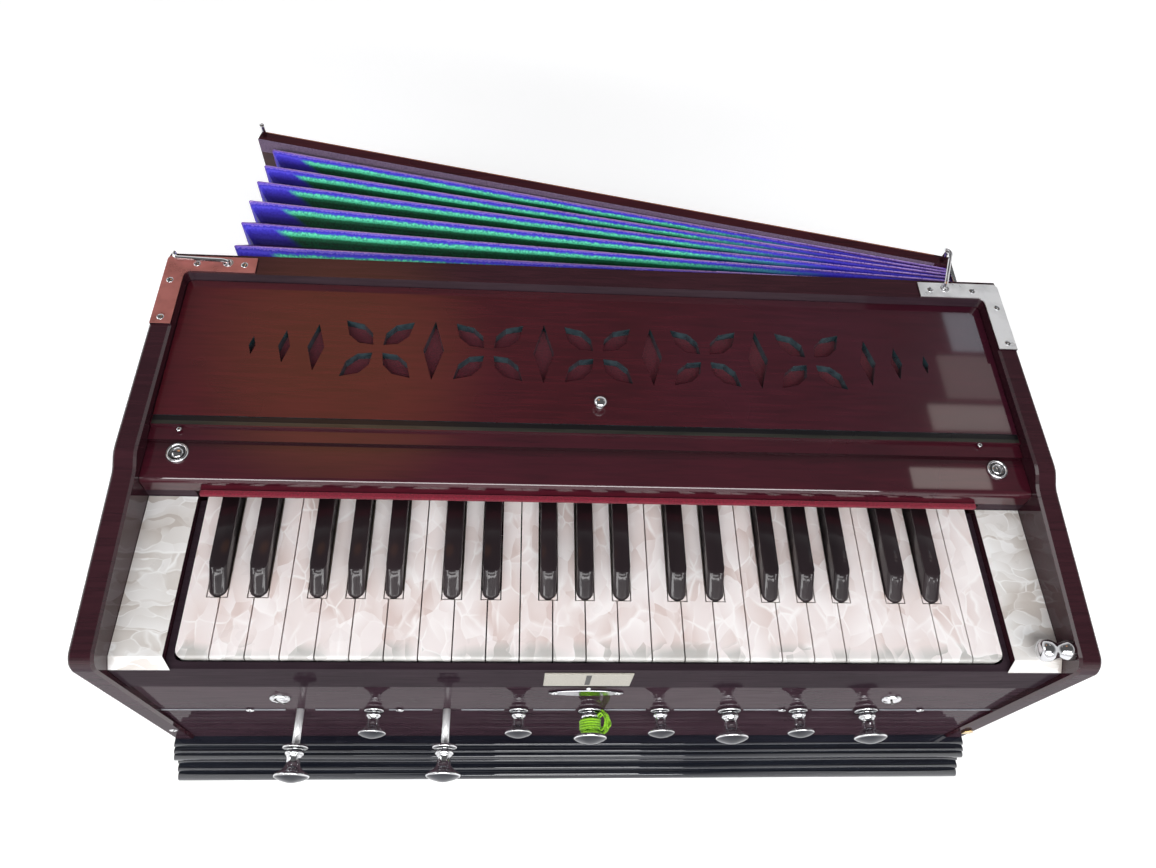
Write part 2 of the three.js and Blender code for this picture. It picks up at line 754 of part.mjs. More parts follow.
function fretLid() {
  const halfWidth = innerX - lidGap;
  const frontEdge = coverBackY + lidGap;
  const backEdge = backY - topRailWidth - lidGap;
  const corner = recessCorner - lidGap;
  const shape = new THREE.Shape();
  shape.moveTo(-halfWidth, frontEdge);
  shape.lineTo(halfWidth, frontEdge);
  shape.absarc(halfWidth - corner, backEdge - corner, corner, 0, Math.PI / 2, false);
  shape.absarc(-halfWidth + corner, backEdge - corner, corner, Math.PI / 2, Math.PI, false);
  const rowY = frontEdge + motifRowShare * (backEdge - frontEdge);
  const endSizeShares = [0.8, 0.56, 0.32];
  const endPlaceShares = [2.55, 2.83, 3.11];
  const motifSpacing = (innerX - motifEndMargin) / endPlaceShares.at(-1);
  const flowerPlaceShares = [-2, -1, 0, 1, 2];
  for (const flower of flowerPlaceShares) {
    for (let i = 0; i < 4; i += 1) {
      const angle = (Math.PI / 4) * (2 * i + 1);
      const centreX = flower * motifSpacing + petalOffset * Math.cos(angle);
      shape.holes.push(petal(centreX, rowY + petalOffset * Math.sin(angle), angle, petalLength, petalWidth));
    }
  }
  const betweenPlaceShares = [-1.5, -0.5, 0.5, 1.5];
  for (const between of betweenPlaceShares) {
    shape.holes.push(lozenge(between * motifSpacing, rowY, lozengeHeight, lozengeWidth));
  }
  for (const side of [-1, 1]) {
    endSizeShares.forEach((share, i) => {
      const x = side * motifSpacing * endPlaceShares[i];
      shape.holes.push(lozenge(x, rowY, share * lozengeHeight, share * lozengeWidth));
    });
  }
  const top = caseTop - lidRecess;
  const lid = solid(planExtrusion(shape, top - lidThickness, top));
  const radiusShares = [0, 0.6, 0.6, 0.42, 0.42, 1, 1, 0.5, 0];
  const heightShares = [-0.2, -0.2, 0.1, 0.2, 0.42, 0.62, 0.8, 0.97, 1];
  const profile = radiusShares.map((share, i) => {
    return new THREE.Vector2(share * lidKnobRadius, heightShares[i] * lidKnobHeight);
  });
  const knob = new THREE.LatheGeometry(profile, 12);
  knob.rotateX(Math.PI / 2);
  knob.translate(0, frontEdge + lidKnobFromFront, top);
  return geometryOf(lid.add(solid(knob)));
}

// Stop: rod, inner collar, base flange, ring, waist and mushroom head, turned in one piece
function stopKnob(headRadius) {
  const length = knobLengthPerRadius * headRadius;
  const collarFront = boardWall + stopTravel + seat;
  const rodEnd = collarFront + 2 * collarThickness;
  const knobRadiusShares = [0.72, 0.74, 0.42, 0.52, 0.52, 0.31, 0.3, 0.46, 0.94, 1, 0.86, 0.4, 0];
  const knobLengthShares = [0, 0.08, 0.1, 0.14, 0.24, 0.29, 0.5, 0.63, 0.77, 0.82, 0.88, 0.97, 1];
  const points = [
    [0, rodEnd],
    [stopRodRadius, rodEnd],
    [stopRodRadius, collarFront + collarThickness],
    [collarRadius, collarFront + collarThickness],
    [collarRadius, collarFront],
    [stopRodRadius, collarFront],
    [stopRodRadius, -seat],
    ...knobRadiusShares.map((share, i) => [share * headRadius, -seat - knobLengthShares[i] * length]),
  ];
  const profile = points.reverse().map(([r, y]) => new THREE.Vector2(r, y));
  return new THREE.LatheGeometry(profile, 12);
}

// Point at u along the board and v across it, turned open about the latch pin
function fanPoint(u, v, angle) {
  const x = pinX + u * Math.cos(angle) + v * Math.sin(angle);
  const y = pinY - u * Math.sin(angle) + v * Math.cos(angle);
  return [x, y];
}

// Pleated cloth: rings of the fan, ridge and valley in turn, round an open bore
function bellowsPleats() {
  const rings = ringShares.length;
  const positions = [];
  const indices = [];
  const ringCorners = (inset, i, cut) => {
    const share = ringShares[i];
    const v = -boardThickness / 2 - seat - (1 - share) * (foldedStack - 2 * seat);
    const left = -ridgeEnd + ridgeTaper * share + inset;
    const right = ridgeRightEnd - inset;
    const top = boardTop - ridgeInsetTop - inset;
    const low = boardBottom + ridgeInsetTop + inset;
    return [
      [left + cut, low], [right - cut, low], [right, low + cut], [right, top - cut],
      [right - cut, top], [left + cut, top], [left, top - cut], [left, low + cut],
    ].map(([u, z]) => [...fanPoint(u, v, share * openAngle), z]);
  };
  const sides = 8;
  for (const bore of [false, true]) {
    for (let i = 0; i < rings; i += 1) {
      const ridge = i % 2 === 1;
      const inset = bore ? foldDepth + clothDepth : (ridge ? 0 : foldDepth);
      const cut = ridge && !bore ? ridgeCorner : foldDepth / 2;
      ringCorners(inset, i, cut).forEach((point) => positions.push(...point));
    }
  }
  const at = (bore, ring, side) => (bore * rings + ring) * sides + (side % sides);
  const quad = (a, b, c, d) => indices.push(a, c, b, a, d, c);
  for (let side = 0; side < sides; side += 1) {
    for (let ring = 0; ring < rings - 1; ring += 1) {
      quad(at(0, ring, side), at(0, ring, side + 1), at(0, ring + 1, side + 1), at(0, ring + 1, side));
      quad(at(1, ring, side), at(1, ring + 1, side), at(1, ring + 1, side + 1), at(1, ring, side + 1));
    }
    quad(at(0, 0, side), at(1, 0, side), at(1, 0, side + 1), at(0, 0, side + 1));
    const last = rings - 1;
    quad(at(0, last, side), at(0, last, side + 1), at(1, last, side + 1), at(1, last, side));
  }
  const geometry = new THREE.BufferGeometry();
  geometry.setAttribute("position", new THREE.Float32BufferAttribute(positions, 3));
  geometry.setIndex(indices);
  geometry.computeVertexNormals();
  return geometry;
}

// Bellows board: framed back, air holes, and a latch pin standing on its top at each end
function bellowsBoard() {
  const left = -boardLength + boardBeyondPin;
  const half = boardThickness / 2;
  let body = solid(block(left, boardBeyondPin, -half, half, boardBottom, boardTop));
  const field = block(
    left + boardFieldInset, boardBeyondPin - boardFieldInset, half - boardFieldDepth, half + overrun,
    boardBottom + boardFieldInset, boardTop - boardFieldInset,
  );
  body = body.subtract(solid(field));
  const middleU = (left + boardBeyondPin) / 2;
  const middleZ = (boardBottom + boardTop) / 2;
  const columnShares = [-1, 0, 1];
  const rowShares = [-0.5, 0.5];
  for (const column of columnShares) {
    for (const row of rowShares) {
      const through = boardThickness + 2 * overrun;
      const hole = new THREE.CylinderGeometry(airHoleRadius, airHoleRadius, through, 12);
      hole.translate(middleU + column * airHoleSpacing, 0, middleZ + row * airHoleSpacing);
      body = body.subtract(solid(hole));
    }
  }
  const notchReach = hingeRadius + hingeClearance;
  for (const z of hingeHeights()) {
    const low = z - hingeClearance;
    const high = z + hingeHeight + hingeClearance;
    const notch = block(-notchReach, boardBeyondPin + overrun, -boardThickness, boardThickness, low, high);
    const pin = new THREE.CylinderGeometry(hingePinRadius, hingePinRadius, high - low + 2 * overrun, 12);
    pin.rotateX(Math.PI / 2);
    pin.translate(0, 0, (low + high) / 2);
    body = body.subtract(solid(notch)).add(solid(pin));
  }
  for (const u of [0, -2 * pinX]) {
    const height = postTop - boardTop + overrun;
    const pin = new THREE.CylinderGeometry(latchPinRadius, latchPinRadius, height, 10);
    pin.rotateX(Math.PI / 2);
    pin.translate(u, 0, postTop - height / 2);
    body = body.add(solid(pin));
  }
  const geometry = geometryOf(body);
  geometry.rotateZ(-openAngle);
  geometry.translate(pinX, pinY, 0);
  return geometry;
}

// Latch hook: one wire with a leg turned down into its hole, a straight shank,
// and an open hook for the board's pin
function latchHook() {
  const reach = Math.hypot(pinX - latchPivotX, pinY - latchPivotY);
  const bendShare = 1 / 3;
  const points = [
    new THREE.Vector3(0, 0, -latchLeg),
    new THREE.Vector3(0, 0, -latchBend),
    new THREE.Vector3(bendShare * latchBend, 0, -bendShare * latchBend),
    new THREE.Vector3(latchBend, hookRadius * (latchBend / reach), 0),
  ];
  const shankShares = [0.4, 0.7, 0.94];
  shankShares.forEach((share) => points.push(new THREE.Vector3(share * reach, share * hookRadius, 0)));
  const curlSteps = 6;
  for (let i = 0; i <= curlSteps; i += 1) {
    const turn = Math.PI / 2 + (i / curlSteps) * (hookCurl - Math.PI / 2);
    points.push(new THREE.Vector3(reach + hookRadius * Math.cos(turn), hookRadius * Math.sin(turn), 0));
  }
  const path = new THREE.CatmullRomCurve3(points, false, "centripetal");
  const section = new THREE.Shape();
  section.absarc(0, 0, wireRadius, 0, 2 * Math.PI, false);
  return new THREE.ExtrudeGeometry(section, {
    steps: 30,
    bevelEnabled: false,
    extrudePath: path,
    curveSegments: 4,
  });
}

// The same wire bent to the other hand
function mirrorAcross(geometry) {
  const flipped = mirrorX(geometry);
  flipped.rotateZ(Math.PI);
  return flipped;
}

// Assembly
place("base_plinth", basePlinth(), lacquer());
place("case_body", caseBody(), lacquer());
place("key_surround", keySurround(), lacquer());
place("key_cover_rail", keyCoverRail(), lacquer());
place("fret_lid", fretLid(), lacquer());

const twoDigits = (number) => String(number).padStart(2, "0");
for (const key of keyList()) {
  const name = `key_${twoDigits(key.lever + 1)}_${key.black ? "black" : "white"}`;
  place(name, key.black ? blackKey(key) : whiteKey(key), key.black ? ebony() : pearl());
}

for (let i = 0; i < stopCount; i += 1) {
  const knob = place(`stop_${i + 1}`, stopKnob(i % 2 === 0 ? largeHeadRadius : smallHeadRadius), chrome());
  const out = drawnShares[i] * stopTravel;
  knob.position.set(stopX(i), frontY + panelInset - out, stopHeight);
}

place("bellows_board", bellowsBoard(), lacquer());
place("bellows_pleats", bellowsPleats(), cloth());

const engaged = Math.atan2(pinY - latchPivotY, pinX - latchPivotX);
const rightHook = place("latch_hook_right", mirrorAcross(latchHook()), chrome());
rightHook.position.set(latchPivotX, latchPivotY, latchZ);
rightHook.rotation.z = engaged;
const leftHook = place("latch_hook_left", latchHook(), chrome());
leftHook.position.set(-latchPivotX, latchPivotY, latchZ);
leftHook.rotation.z = Math.PI - idleAngle;

export default group;
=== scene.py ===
import math

import bmesh
import bpy
from mathutils import Matrix, Vector


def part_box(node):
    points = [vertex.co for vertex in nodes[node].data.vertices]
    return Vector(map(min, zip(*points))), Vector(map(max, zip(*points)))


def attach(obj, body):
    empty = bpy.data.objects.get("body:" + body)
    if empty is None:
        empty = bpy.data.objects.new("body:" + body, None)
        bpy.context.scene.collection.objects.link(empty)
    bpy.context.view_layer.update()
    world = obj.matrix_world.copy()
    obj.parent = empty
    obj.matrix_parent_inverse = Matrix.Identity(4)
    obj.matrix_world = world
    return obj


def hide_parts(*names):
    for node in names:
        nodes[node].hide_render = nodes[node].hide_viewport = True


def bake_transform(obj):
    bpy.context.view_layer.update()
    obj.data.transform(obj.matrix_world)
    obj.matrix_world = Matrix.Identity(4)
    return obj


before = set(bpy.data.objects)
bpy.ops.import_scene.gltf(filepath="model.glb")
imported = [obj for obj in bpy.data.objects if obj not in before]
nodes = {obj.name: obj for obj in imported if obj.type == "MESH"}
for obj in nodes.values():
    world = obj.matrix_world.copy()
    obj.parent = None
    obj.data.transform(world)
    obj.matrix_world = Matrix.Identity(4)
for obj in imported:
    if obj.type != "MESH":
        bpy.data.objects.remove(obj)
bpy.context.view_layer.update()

MM = 0.001


# Sizes of the instrument in millimetres, as in the solids: x to the right, y to the back, z up from the floor
CASE_W = 640.0
FRONT_Y = -150.0
INNER_X = 305.0
BASE_H, BASE_PROUD = 32.0, 26.0
WHITE_KEYS, KEY_PITCH = 25, 21.4
KEYS_HALF = WHITE_KEYS * KEY_PITCH / 2
KEY_TOP, KEY_FRONT = 221.0, -142.6
COVER_FRONT, COVER_SCREWS = -33.1, (284.0, -12.6, 247.5)
PANEL_Y, PANEL_DEPTH = -148.0, 12
STOPS, STOP_PITCH, STOP_Z, STOP_TRAVEL = 9, 52.0, 117.0, 25.0
LID_TOP, LID_FRONT = 252.5, 14.3
HOOK_POST = (275.3, 141.4)
PIN_X, PIN_Y = 284.0, 176.3
BOARD_TOP, BOARD_LOW, HALF_BOARD = 256.0, 38.0, 5.0
OPEN = math.radians(11.1)

UP, AHEAD = (0, 0, 1), (0, -1, 0)
SIDES = (("left", -1), ("right", 1))


# Node trees: a socket takes a number, a colour or vector, or the output of another node
class Nodes:
    def __init__(self, tree):
        self.tree = tree
        coord = self.node("ShaderNodeTexCoord", {})
        self.object, self.uv, self.generated = coord["Object"], coord["UV"], coord["Generated"]

    def feed(self, socket, value):
        if isinstance(value, tuple):
            socket.default_value = value + (1.0,) * (len(socket.default_value) - len(value))
        elif isinstance(value, (int, float)):
            socket.default_value = value
        else:
            self.tree.links.new(value, socket)

    def node(self, kind, inputs, **settings):
        made = self.tree.nodes.new(kind)
        for key, value in settings.items():
            setattr(made, key, value)
        for place, value in inputs.items():
            self.feed(made.inputs[place], value)
        return made.outputs

    def mapped(self, scale):
        return self.node("ShaderNodeMapping", {"Scale": scale, "Vector": self.object})["Vector"]

    def parts(self, vector):
        return self.node("ShaderNodeSeparateXYZ", {"Vector": vector})

    def noise(self, scale, detail=3.0, vector=None, distortion=0.0):
        inputs = {"Scale": scale, "Detail": detail, "Distortion": distortion, "Vector": vector or self.object}
        return self.node("ShaderNodeTexNoise", inputs)["Fac"]

    def ramp(self, share, stops):
        made = self.tree.nodes.new("ShaderNodeValToRGB")
        band = made.color_ramp
        while len(band.elements) < len(stops):
            band.elements.new(0.5)
        for element, (place, color) in zip(band.elements, stops):
            element.position = place
            element.color = color + (1.0,)
        self.feed(made.inputs["Fac"], share)
        return made.outputs["Color"]

    def range(self, value, to_low, to_high, from_low=0.3, from_high=0.7, way="LINEAR"):
        inputs = {"From Min": from_low, "From Max": from_high, "To Min": to_low, "To Max": to_high,
                  "Value": value}
        return self.node("ShaderNodeMapRange", inputs, interpolation_type=way)["Result"]

    def mix(self, share, a, b, blend="MIX"):
        return self.node("ShaderNodeMix", {0: share, 6: a, 7: b}, data_type="RGBA", blend_type=blend)[2]

    def math(self, operation, *values):
        return self.node("ShaderNodeMath", dict(enumerate(values)), operation=operation)["Value"]

    def vector_math(self, operation, *values):
        return self.node("ShaderNodeVectorMath", dict(enumerate(values)), operation=operation)

    def between(self, share, a, b):
        away = self.math("MULTIPLY", self.math("SUBTRACT", 1.0, share), a)
        return self.math("ADD", away, self.math("MULTIPLY", share, b))


class Mat(Nodes):
    def __init__(self, name):
        self.mat = bpy.data.materials.new(name)
        self.mat.use_nodes = True
        super().__init__(self.mat.node_tree)
        self.bsdf = self.tree.nodes["Principled BSDF"]

    def set(self, **values):
        for key, value in values.items():
            self.feed(self.bsdf.inputs[key.replace("_", " ")], value)

    def facing(self, normal="True Normal"):
        return self.parts(self.node("ShaderNodeNewGeometry", {})[normal])

    def bump(self, height, strength):
        inputs = {"Strength": strength, "Distance": 0.5 * MM, "Height": height}
        self.set(Normal=self.node("ShaderNodeBump", inputs)["Normal"])


def scaled(color, share):
    return tuple(share * c for c in color)


def wood_grain(m, cloud_scale):
    """Soft clouds, and the grain: long streaks along x that the clouds vary."""
    streak = m.noise(9.0, 6.0, m.mapped((3, 40, 40)), 0.6)
    cloud = m.noise(cloud_scale)
    return cloud, m.math("MULTIPLY", m.math("ADD", streak, cloud), 0.5)


def wood_tones(m, grain, dark, light):
    return m.ramp(grain, [(0.36, dark), (0.66, light)])


def lacquer(name, dark, light, coat=0.7, specular=0.25, coat_roughness=0.04, coat_ior=1.5, shade_y=None,
            side_coat=None, front_coat=None, front_reflection_tones=None):
    """Outer, back and front faces can have a thinner coat, and front faces greyer tones, a painted
    reflection; a band of y can lie in shade.
    """
    m = Mat(name)
    cloud, grain = wood_grain(m, 7.0)
    color = wood_tones(m, grain, dark, light)
    place, facing = m.parts(m.object), m.facing()
    if shade_y:
        near = m.range(place["Y"], 0.0, 0.8, *shade_y)
        near = m.math("MULTIPLY", near, m.math("LESS_THAN", place["Y"], shade_y[1] + 0.1 * MM))
        color = m.mix(near, color, scaled(dark, 0.4))
    if side_coat is not None:
        outward = m.math("MULTIPLY", place["X"], facing["X"])
        outer = m.math("MAXIMUM", m.range(outward, 0.0, 1.0, 0.12, 0.28),
                       m.range(facing["Y"], 0.0, 1.0, 0.8, 0.95))
        coat = m.between(outer, coat, side_coat)
    if front_coat is not None:
        ahead = m.range(facing["Y"], 1.0, 0.0, -0.95, -0.8)
        coat = m.between(ahead, coat, front_coat)
        # Greyer tones on the front faces: a painted reflection
        if front_reflection_tones:
            color = m.mix(ahead, color, wood_tones(m, grain, *front_reflection_tones))
    m.set(Base_Color=color)
    m.set(Roughness=m.range(cloud, 0.24, 0.36), Specular_IOR_Level=specular)
    m.set(Coat_Weight=coat, Coat_Roughness=coat_roughness, Coat_IOR=coat_ior)
    m.bump(m.noise(60.0, 2.0), 0.04)
    return m.mat


def lid_lacquer():
    """Redder at the left than at the right, with bluish grey on the upright walls of the fretwork."""
    m = Mat("lid_lacquer")
    cloud, grain = wood_grain(m, 6.0)
    along = m.math("ADD", m.parts(m.object)["X"], m.range(cloud, -0.12, 0.12))
    wood = m.mix(m.range(along, 0.0, 1.0, -0.12, 0.26),
                 wood_tones(m, grain, (0.040, 0.0036, 0.0075), (0.078, 0.0065, 0.0125)),
                 wood_tones(m, grain, (0.030, 0.0042, 0.011), (0.056, 0.0075, 0.018)))
    upright = m.math("LESS_THAN", m.math("ABSOLUTE", m.facing()["Z"]), 0.5)
    edge = m.ramp(m.noise(160.0, 2.0), [(0.3, (0.016, 0.032, 0.04)), (0.7, (0.045, 0.078, 0.09))])
    m.set(Base_Color=m.mix(upright, wood, edge))
    m.set(Roughness=m.range(cloud, 0.22, 0.34), Specular_IOR_Level=0.25)
    m.set(Coat_Weight=0.75, Coat_Roughness=0.04, Coat_IOR=1.6)
    m.bump(m.noise(60.0, 2.0), 0.04)
    return m.mat


# Pearl: crumpled flakes, each one shaded from side to side, with pale creases between them
def flakes(m, vector, scale):
    cells = m.node("ShaderNodeTexVoronoi", {"Scale": scale, "Vector": vector}, feature="F1")
    away = m.vector_math("SUBTRACT", vector, cells["Position"])["Vector"]
    lean = m.vector_math("SUBTRACT", cells["Color"], (0.5, 0.5, 0.5))["Vector"]
    along = m.vector_math("DOT_PRODUCT", away, lean)["Value"]
    return m.math("ADD", m.math("MULTIPLY", along, 1.7 * scale), 0.5)


def creases(m, vector, scale, width, patch_scale):
    edges = m.node("ShaderNodeTexVoronoi", {"Scale": scale, "Vector": vector}, feature="DISTANCE_TO_EDGE")
    line = m.range(edges["Distance"], 1.0, 0.0, 0.0, width)
    return m.math("MULTIPLY", line, m.range(m.noise(patch_scale, 2.0), 0.0, 1.0, 0.48, 0.62))


def pearl(name, tones, crease_color, stretch, scale, warp_by, front_y=None):
    """Large flakes with ones of 1/2.1 their size over them; front_y starts a greyer band along the front
    edge, a painted highlight of the keys' rounded fronts.
    """
    m = Mat(name)
    warp = m.node("ShaderNodeTexNoise", {"Scale": 42.0, "Vector": m.object})["Color"]
    bent = m.vector_math("MULTIPLY_ADD", warp, (warp_by, warp_by, warp_by), m.mapped(stretch))["Vector"]
    fine = 2.1 * scale
    tone = m.math("ADD", m.math("MULTIPLY", flakes(m, bent, scale), 0.55),
                  m.math("MULTIPLY", flakes(m, bent, fine), 0.45))
    tone = m.math("ADD", tone, m.range(m.noise(14.0, 2.0), -0.2, 0.2))
    line = m.math("MAXIMUM", creases(m, bent, scale, 0.05, 31.0), creases(m, bent, fine, 0.055, 47.0))
    color = m.mix(m.math("MULTIPLY", line, 0.85), m.ramp(tone, tones), crease_color)
    if front_y is not None:
        # Greyer band along the front edge: a painted highlight of the rounded fronts
        ragged = m.math("ADD", m.parts(m.object)["Y"], m.range(tone, -4 * MM, 4 * MM))
        pale = m.ramp(tone, [(0.3, (0.46, 0.46, 0.44)), (0.5, (0.58, 0.58, 0.56)), (0.7, (0.72, 0.72, 0.70))])
        color = m.mix(m.range(ragged, 0.85, 0.0, front_y, front_y + 7 * MM), color, pale)
    m.set(Base_Color=color)
    m.set(Roughness=m.range(m.noise(50.0), 0.26, 0.4), Specular_IOR_Level=0.4)
    m.set(Coat_Weight=0.3, Coat_Roughness=0.1)
    m.bump(tone, 0.06)
    return m.mat


def plate(name, tint):
    m = Mat(name)
    worn = m.noise(70.0, 6.0)
    m.set(Base_Color=m.ramp(worn, [(0.34, scaled(tint, 0.8)), (0.55, tint)]))
    m.set(Metallic=0.5, Roughness=m.range(worn, 0.26, 0.4))
    m.bump(m.noise(300.0, 2.0), 0.04)
    return m.mat


def ebony(name, wood_below=None):
    """Black gloss; below that height the bare wood of the lever shows."""
    m = Mat(name)
    grain = m.noise(40.0, 4.0, m.mapped((1, 0.15, 1)))
    color = m.ramp(grain, [(0.3, (0.012, 0.008, 0.010)), (0.7, (0.026, 0.017, 0.020))])
    if wood_below:
        wood = m.ramp(grain, [(0.3, (0.62, 0.54, 0.47)), (0.7, (0.78, 0.71, 0.64))])
        color = m.mix(m.math("LESS_THAN", m.parts(m.object)["Z"], wood_below), color, wood)
    m.set(Base_Color=color)
    m.set(Roughness=m.range(m.noise(120.0), 0.3, 0.42), Specular_IOR_Level=0.16)
    m.set(Coat_Weight=0.42, Coat_Roughness=0.08)
    m.bump(m.noise(300.0, 2.0), 0.04)
    return m.mat


def chrome(name, tint, smooth=0.06, rough=0.18):
    m = Mat(name)
    worn = m.noise(90.0, 5.0)
    m.set(Base_Color=m.ramp(worn, [(0.3, scaled(tint, 0.78)), (0.6, tint)]))
    m.set(Metallic=1.0, Roughness=m.range(worn, smooth, rough))
    m.bump(m.noise(420.0, 2.0), 0.03)
    return m.mat


def knob_chrome():
    """Forward-facing parts of the knobs are near black, a painted dark reflection; their rims and necks are
    bright.
    """
    m = Mat("knob_chrome")
    worn = m.noise(90.0, 5.0)
    ahead = m.math("ADD", m.facing("Normal")["Y"], m.range(m.noise(55.0, 2.0), -0.06, 0.06))
    bright = m.ramp(worn, [(0.3, (0.62, 0.62, 0.63)), (0.6, (0.80, 0.80, 0.82))])
    painted_dark_reflection = m.ramp(worn, [(0.3, (0.032, 0.034, 0.040)), (0.6, (0.058, 0.060, 0.070))])
    m.set(Base_Color=m.mix(m.range(ahead, 1.0, 0.0, -0.80, -0.55), bright, painted_dark_reflection))
    m.set(Metallic=1.0, Roughness=m.range(worn, 0.05, 0.12))
    m.bump(m.noise(420.0, 2.0), 0.03)
    return m.mat


def felt(name, dark, light):
    m = Mat(name)
    fuzz = m.noise(900.0, 4.0)
    m.set(Base_Color=m.ramp(fuzz, [(0.3, dark), (0.7, light)]), Roughness=0.95, Sheen_Weight=0.3)
    m.bump(fuzz, 0.5)
    return m.mat


def pleat_cloth(name, bands, end_bands):
    """uv x runs in decimetres from the open end, uv y from ridge to valley; end_bands colour both ends."""
    m = Mat(name)
    place = m.parts(m.uv)
    grit = m.noise(620.0)
    wobble = m.math("ADD", m.range(m.noise(24.0), -0.03, 0.03), m.range(grit, -0.05, 0.05))
    across = m.math("ADD", place["Y"], wobble)
    spark = m.ramp(grit, [(0.4, (0.42, 0.5, 0.5)), (0.6, (1.25, 1.2, 1.2))])
    flecked = m.mix(m.range(across, 0.0, 0.9, 0.26, 0.36), m.ramp(across, bands), spark, "MULTIPLY")
    slant = m.math("ADD", place["X"], m.math("MULTIPLY", across, -0.24))
    open_end = m.range(slant, 1.0, 0.0, 0.20, 0.27)
    hinge_end = m.range(place["X"], 0.0, 1.0, 3.5, 4.7)
    m.set(Base_Color=m.mix(m.math("MAXIMUM", open_end, hinge_end), flecked, m.ramp(across, end_bands)))
    m.set(Roughness=m.range(grit, 0.4, 0.6), Specular_IOR_Level=0.08)
    m.bump(grit, 0.25)
    return m.mat


# The case's front faces take greyer, bluish tones: a painted reflection
LACQUER = lacquer("maroon_lacquer", (0.023, 0.006, 0.010), (0.046, 0.012, 0.018), 0.8, 0.0, 0.03, 1.65,
                  side_coat=0.15, front_coat=0.25, front_reflection_tones=((0.030, 0.016, 0.023), (0.054, 0.030, 0.040)))
RAIL = lacquer("rail_lacquer", (0.034, 0.0036, 0.009), (0.062, 0.006, 0.014), 0.9, 0.1, 0.03, 1.75,
               shade_y=(-0.011, -0.0036))
DARK = lacquer("dark_lacquer", (0.008, 0.009, 0.015), (0.018, 0.021, 0.031), 0.85, 0.0, 0.03, 1.8,
              side_coat=0.2)
SLIP = lacquer("slip_lacquer", (0.020, 0.012, 0.017), (0.036, 0.022, 0.030), 0.7, 0.0, 0.06, front_coat=0.1)
BOARD = lacquer("board_lacquer", (0.026, 0.004, 0.008), (0.05, 0.007, 0.012), 0.5, 0.1, side_coat=0.12)
# Olive and near-black strips in front of the lid: painted reflection and painted shadow
EDGE_REFLECTION = lacquer("strip_olive_lacquer", (0.014, 0.014, 0.011), (0.035, 0.034, 0.027), 0.9)
GAP_SHADOW = lacquer("strip_black_lacquer", (0.004, 0.004, 0.005), (0.010, 0.008, 0.010), 0.4)
# Pale grey of the panel bead: a painted highlight
BEAD_HIGHLIGHT = lacquer("seam_bead_lacquer", (0.10, 0.105, 0.12), (0.20, 0.21, 0.24))
LID = lid_lacquer()
KEYS = pearl("key_pearl", [(0.12, (0.68, 0.56, 0.53)), (0.38, (0.78, 0.69, 0.67)), (0.62, (0.83, 0.76, 0.75)),
                           (0.9, (0.90, 0.85, 0.84))],
             (0.94, 0.91, 0.90), (1.0, 0.62, 1.0), 40.0, 0.007, front_y=-0.1405)
BLOCKS = pearl("block_pearl", [(0.10, (0.56, 0.51, 0.47)), (0.36, (0.69, 0.66, 0.63)),
                               (0.60, (0.77, 0.75, 0.73)), (0.92, (0.85, 0.84, 0.83))],
               (0.93, 0.93, 0.92), (0.5, 1.15, 1.0), 46.0, 0.018)
SHARPS = ebony("sharp_black")
SHARP_LEVERS = ebony("sharp_lever", (KEY_TOP - 0.3) * MM)
CHROME = chrome("bright_chrome", (0.72, 0.72, 0.74))
DULL_CHROME = chrome("escutcheon_chrome", (0.34, 0.34, 0.36), 0.08, 0.2)
GOLD = chrome("brass_gilt", (0.72, 0.52, 0.24), 0.15, 0.3)
KNOB = knob_chrome()
PLATE = plate("corner_plate_steel", (0.86, 0.86, 0.87))
COPPERY = plate("corner_plate_copper", (0.52, 0.19, 0.17))
FELT = felt("crimson_felt", (0.12, 0.002, 0.013), (0.27, 0.006, 0.03))
LINING = felt("crimson_lining", (0.035, 0.001, 0.006), (0.12, 0.003, 0.016))
CREAM = felt("cream_plate", (0.35, 0.33, 0.28), (0.48, 0.455, 0.40))
THREAD = felt("green_thread", (0.20, 0.50, 0.005), (0.44, 0.88, 0.04))
DARK_HOLE = felt("slot_shadow", (0.004, 0.003, 0.003), (0.01, 0.008, 0.008))
LILAC = felt("board_inner_card", (0.08, 0.045, 0.10), (0.18, 0.12, 0.20))
# Orange of the board's back edge: a painted highlight
EDGE_HIGHLIGHT = felt("worn_wood_edge", (0.14, 0.035, 0.018), (0.34, 0.10, 0.045))
# From ridge to valley: a pale violet line on the ridge is a painted highlight, then the blue tape
TAPE_AND_RIDGE_HIGHLIGHT = [(0.0, (0.50, 0.36, 0.74)), (0.045, (0.10, 0.06, 0.50)), (0.10, (0.22, 0.15, 0.66)),
               (0.14, (0.045, 0.035, 0.46))]
# Slopes facing the front: the cloth lit, mint, darkening to green toward the valley and to deep blue at the
# ends as painted shade
LIT_CLOTH = pleat_cloth("pleat_front", TAPE_AND_RIDGE_HIGHLIGHT + [
    (0.23, (0.06, 0.05, 0.62)), (0.28, (0.04, 0.25, 0.34)), (0.33, (0.12, 0.68, 0.42)),
    (0.45, (0.07, 0.52, 0.30)), (0.54, (0.004, 0.085, 0.038)), (0.72, (0.001, 0.032, 0.014))], TAPE_AND_RIDGE_HIGHLIGHT + [
    (0.24, (0.09, 0.07, 0.66)), (0.33, (0.04, 0.03, 0.46)), (0.55, (0.02, 0.012, 0.22)),
    (1.0, (0.006, 0.003, 0.07))])
# Slopes facing the back: a darker copy of the cloth in painted shade
SHADED_CLOTH = pleat_cloth("pleat_back", [
    (0.0, (0.30, 0.18, 0.40)), (0.1, (0.08, 0.03, 0.14)), (0.6, (0.022, 0.004, 0.02))], [
    (0.0, (0.25, 0.15, 0.45)), (0.12, (0.05, 0.02, 0.16)), (0.7, (0.02, 0.004, 0.03))])


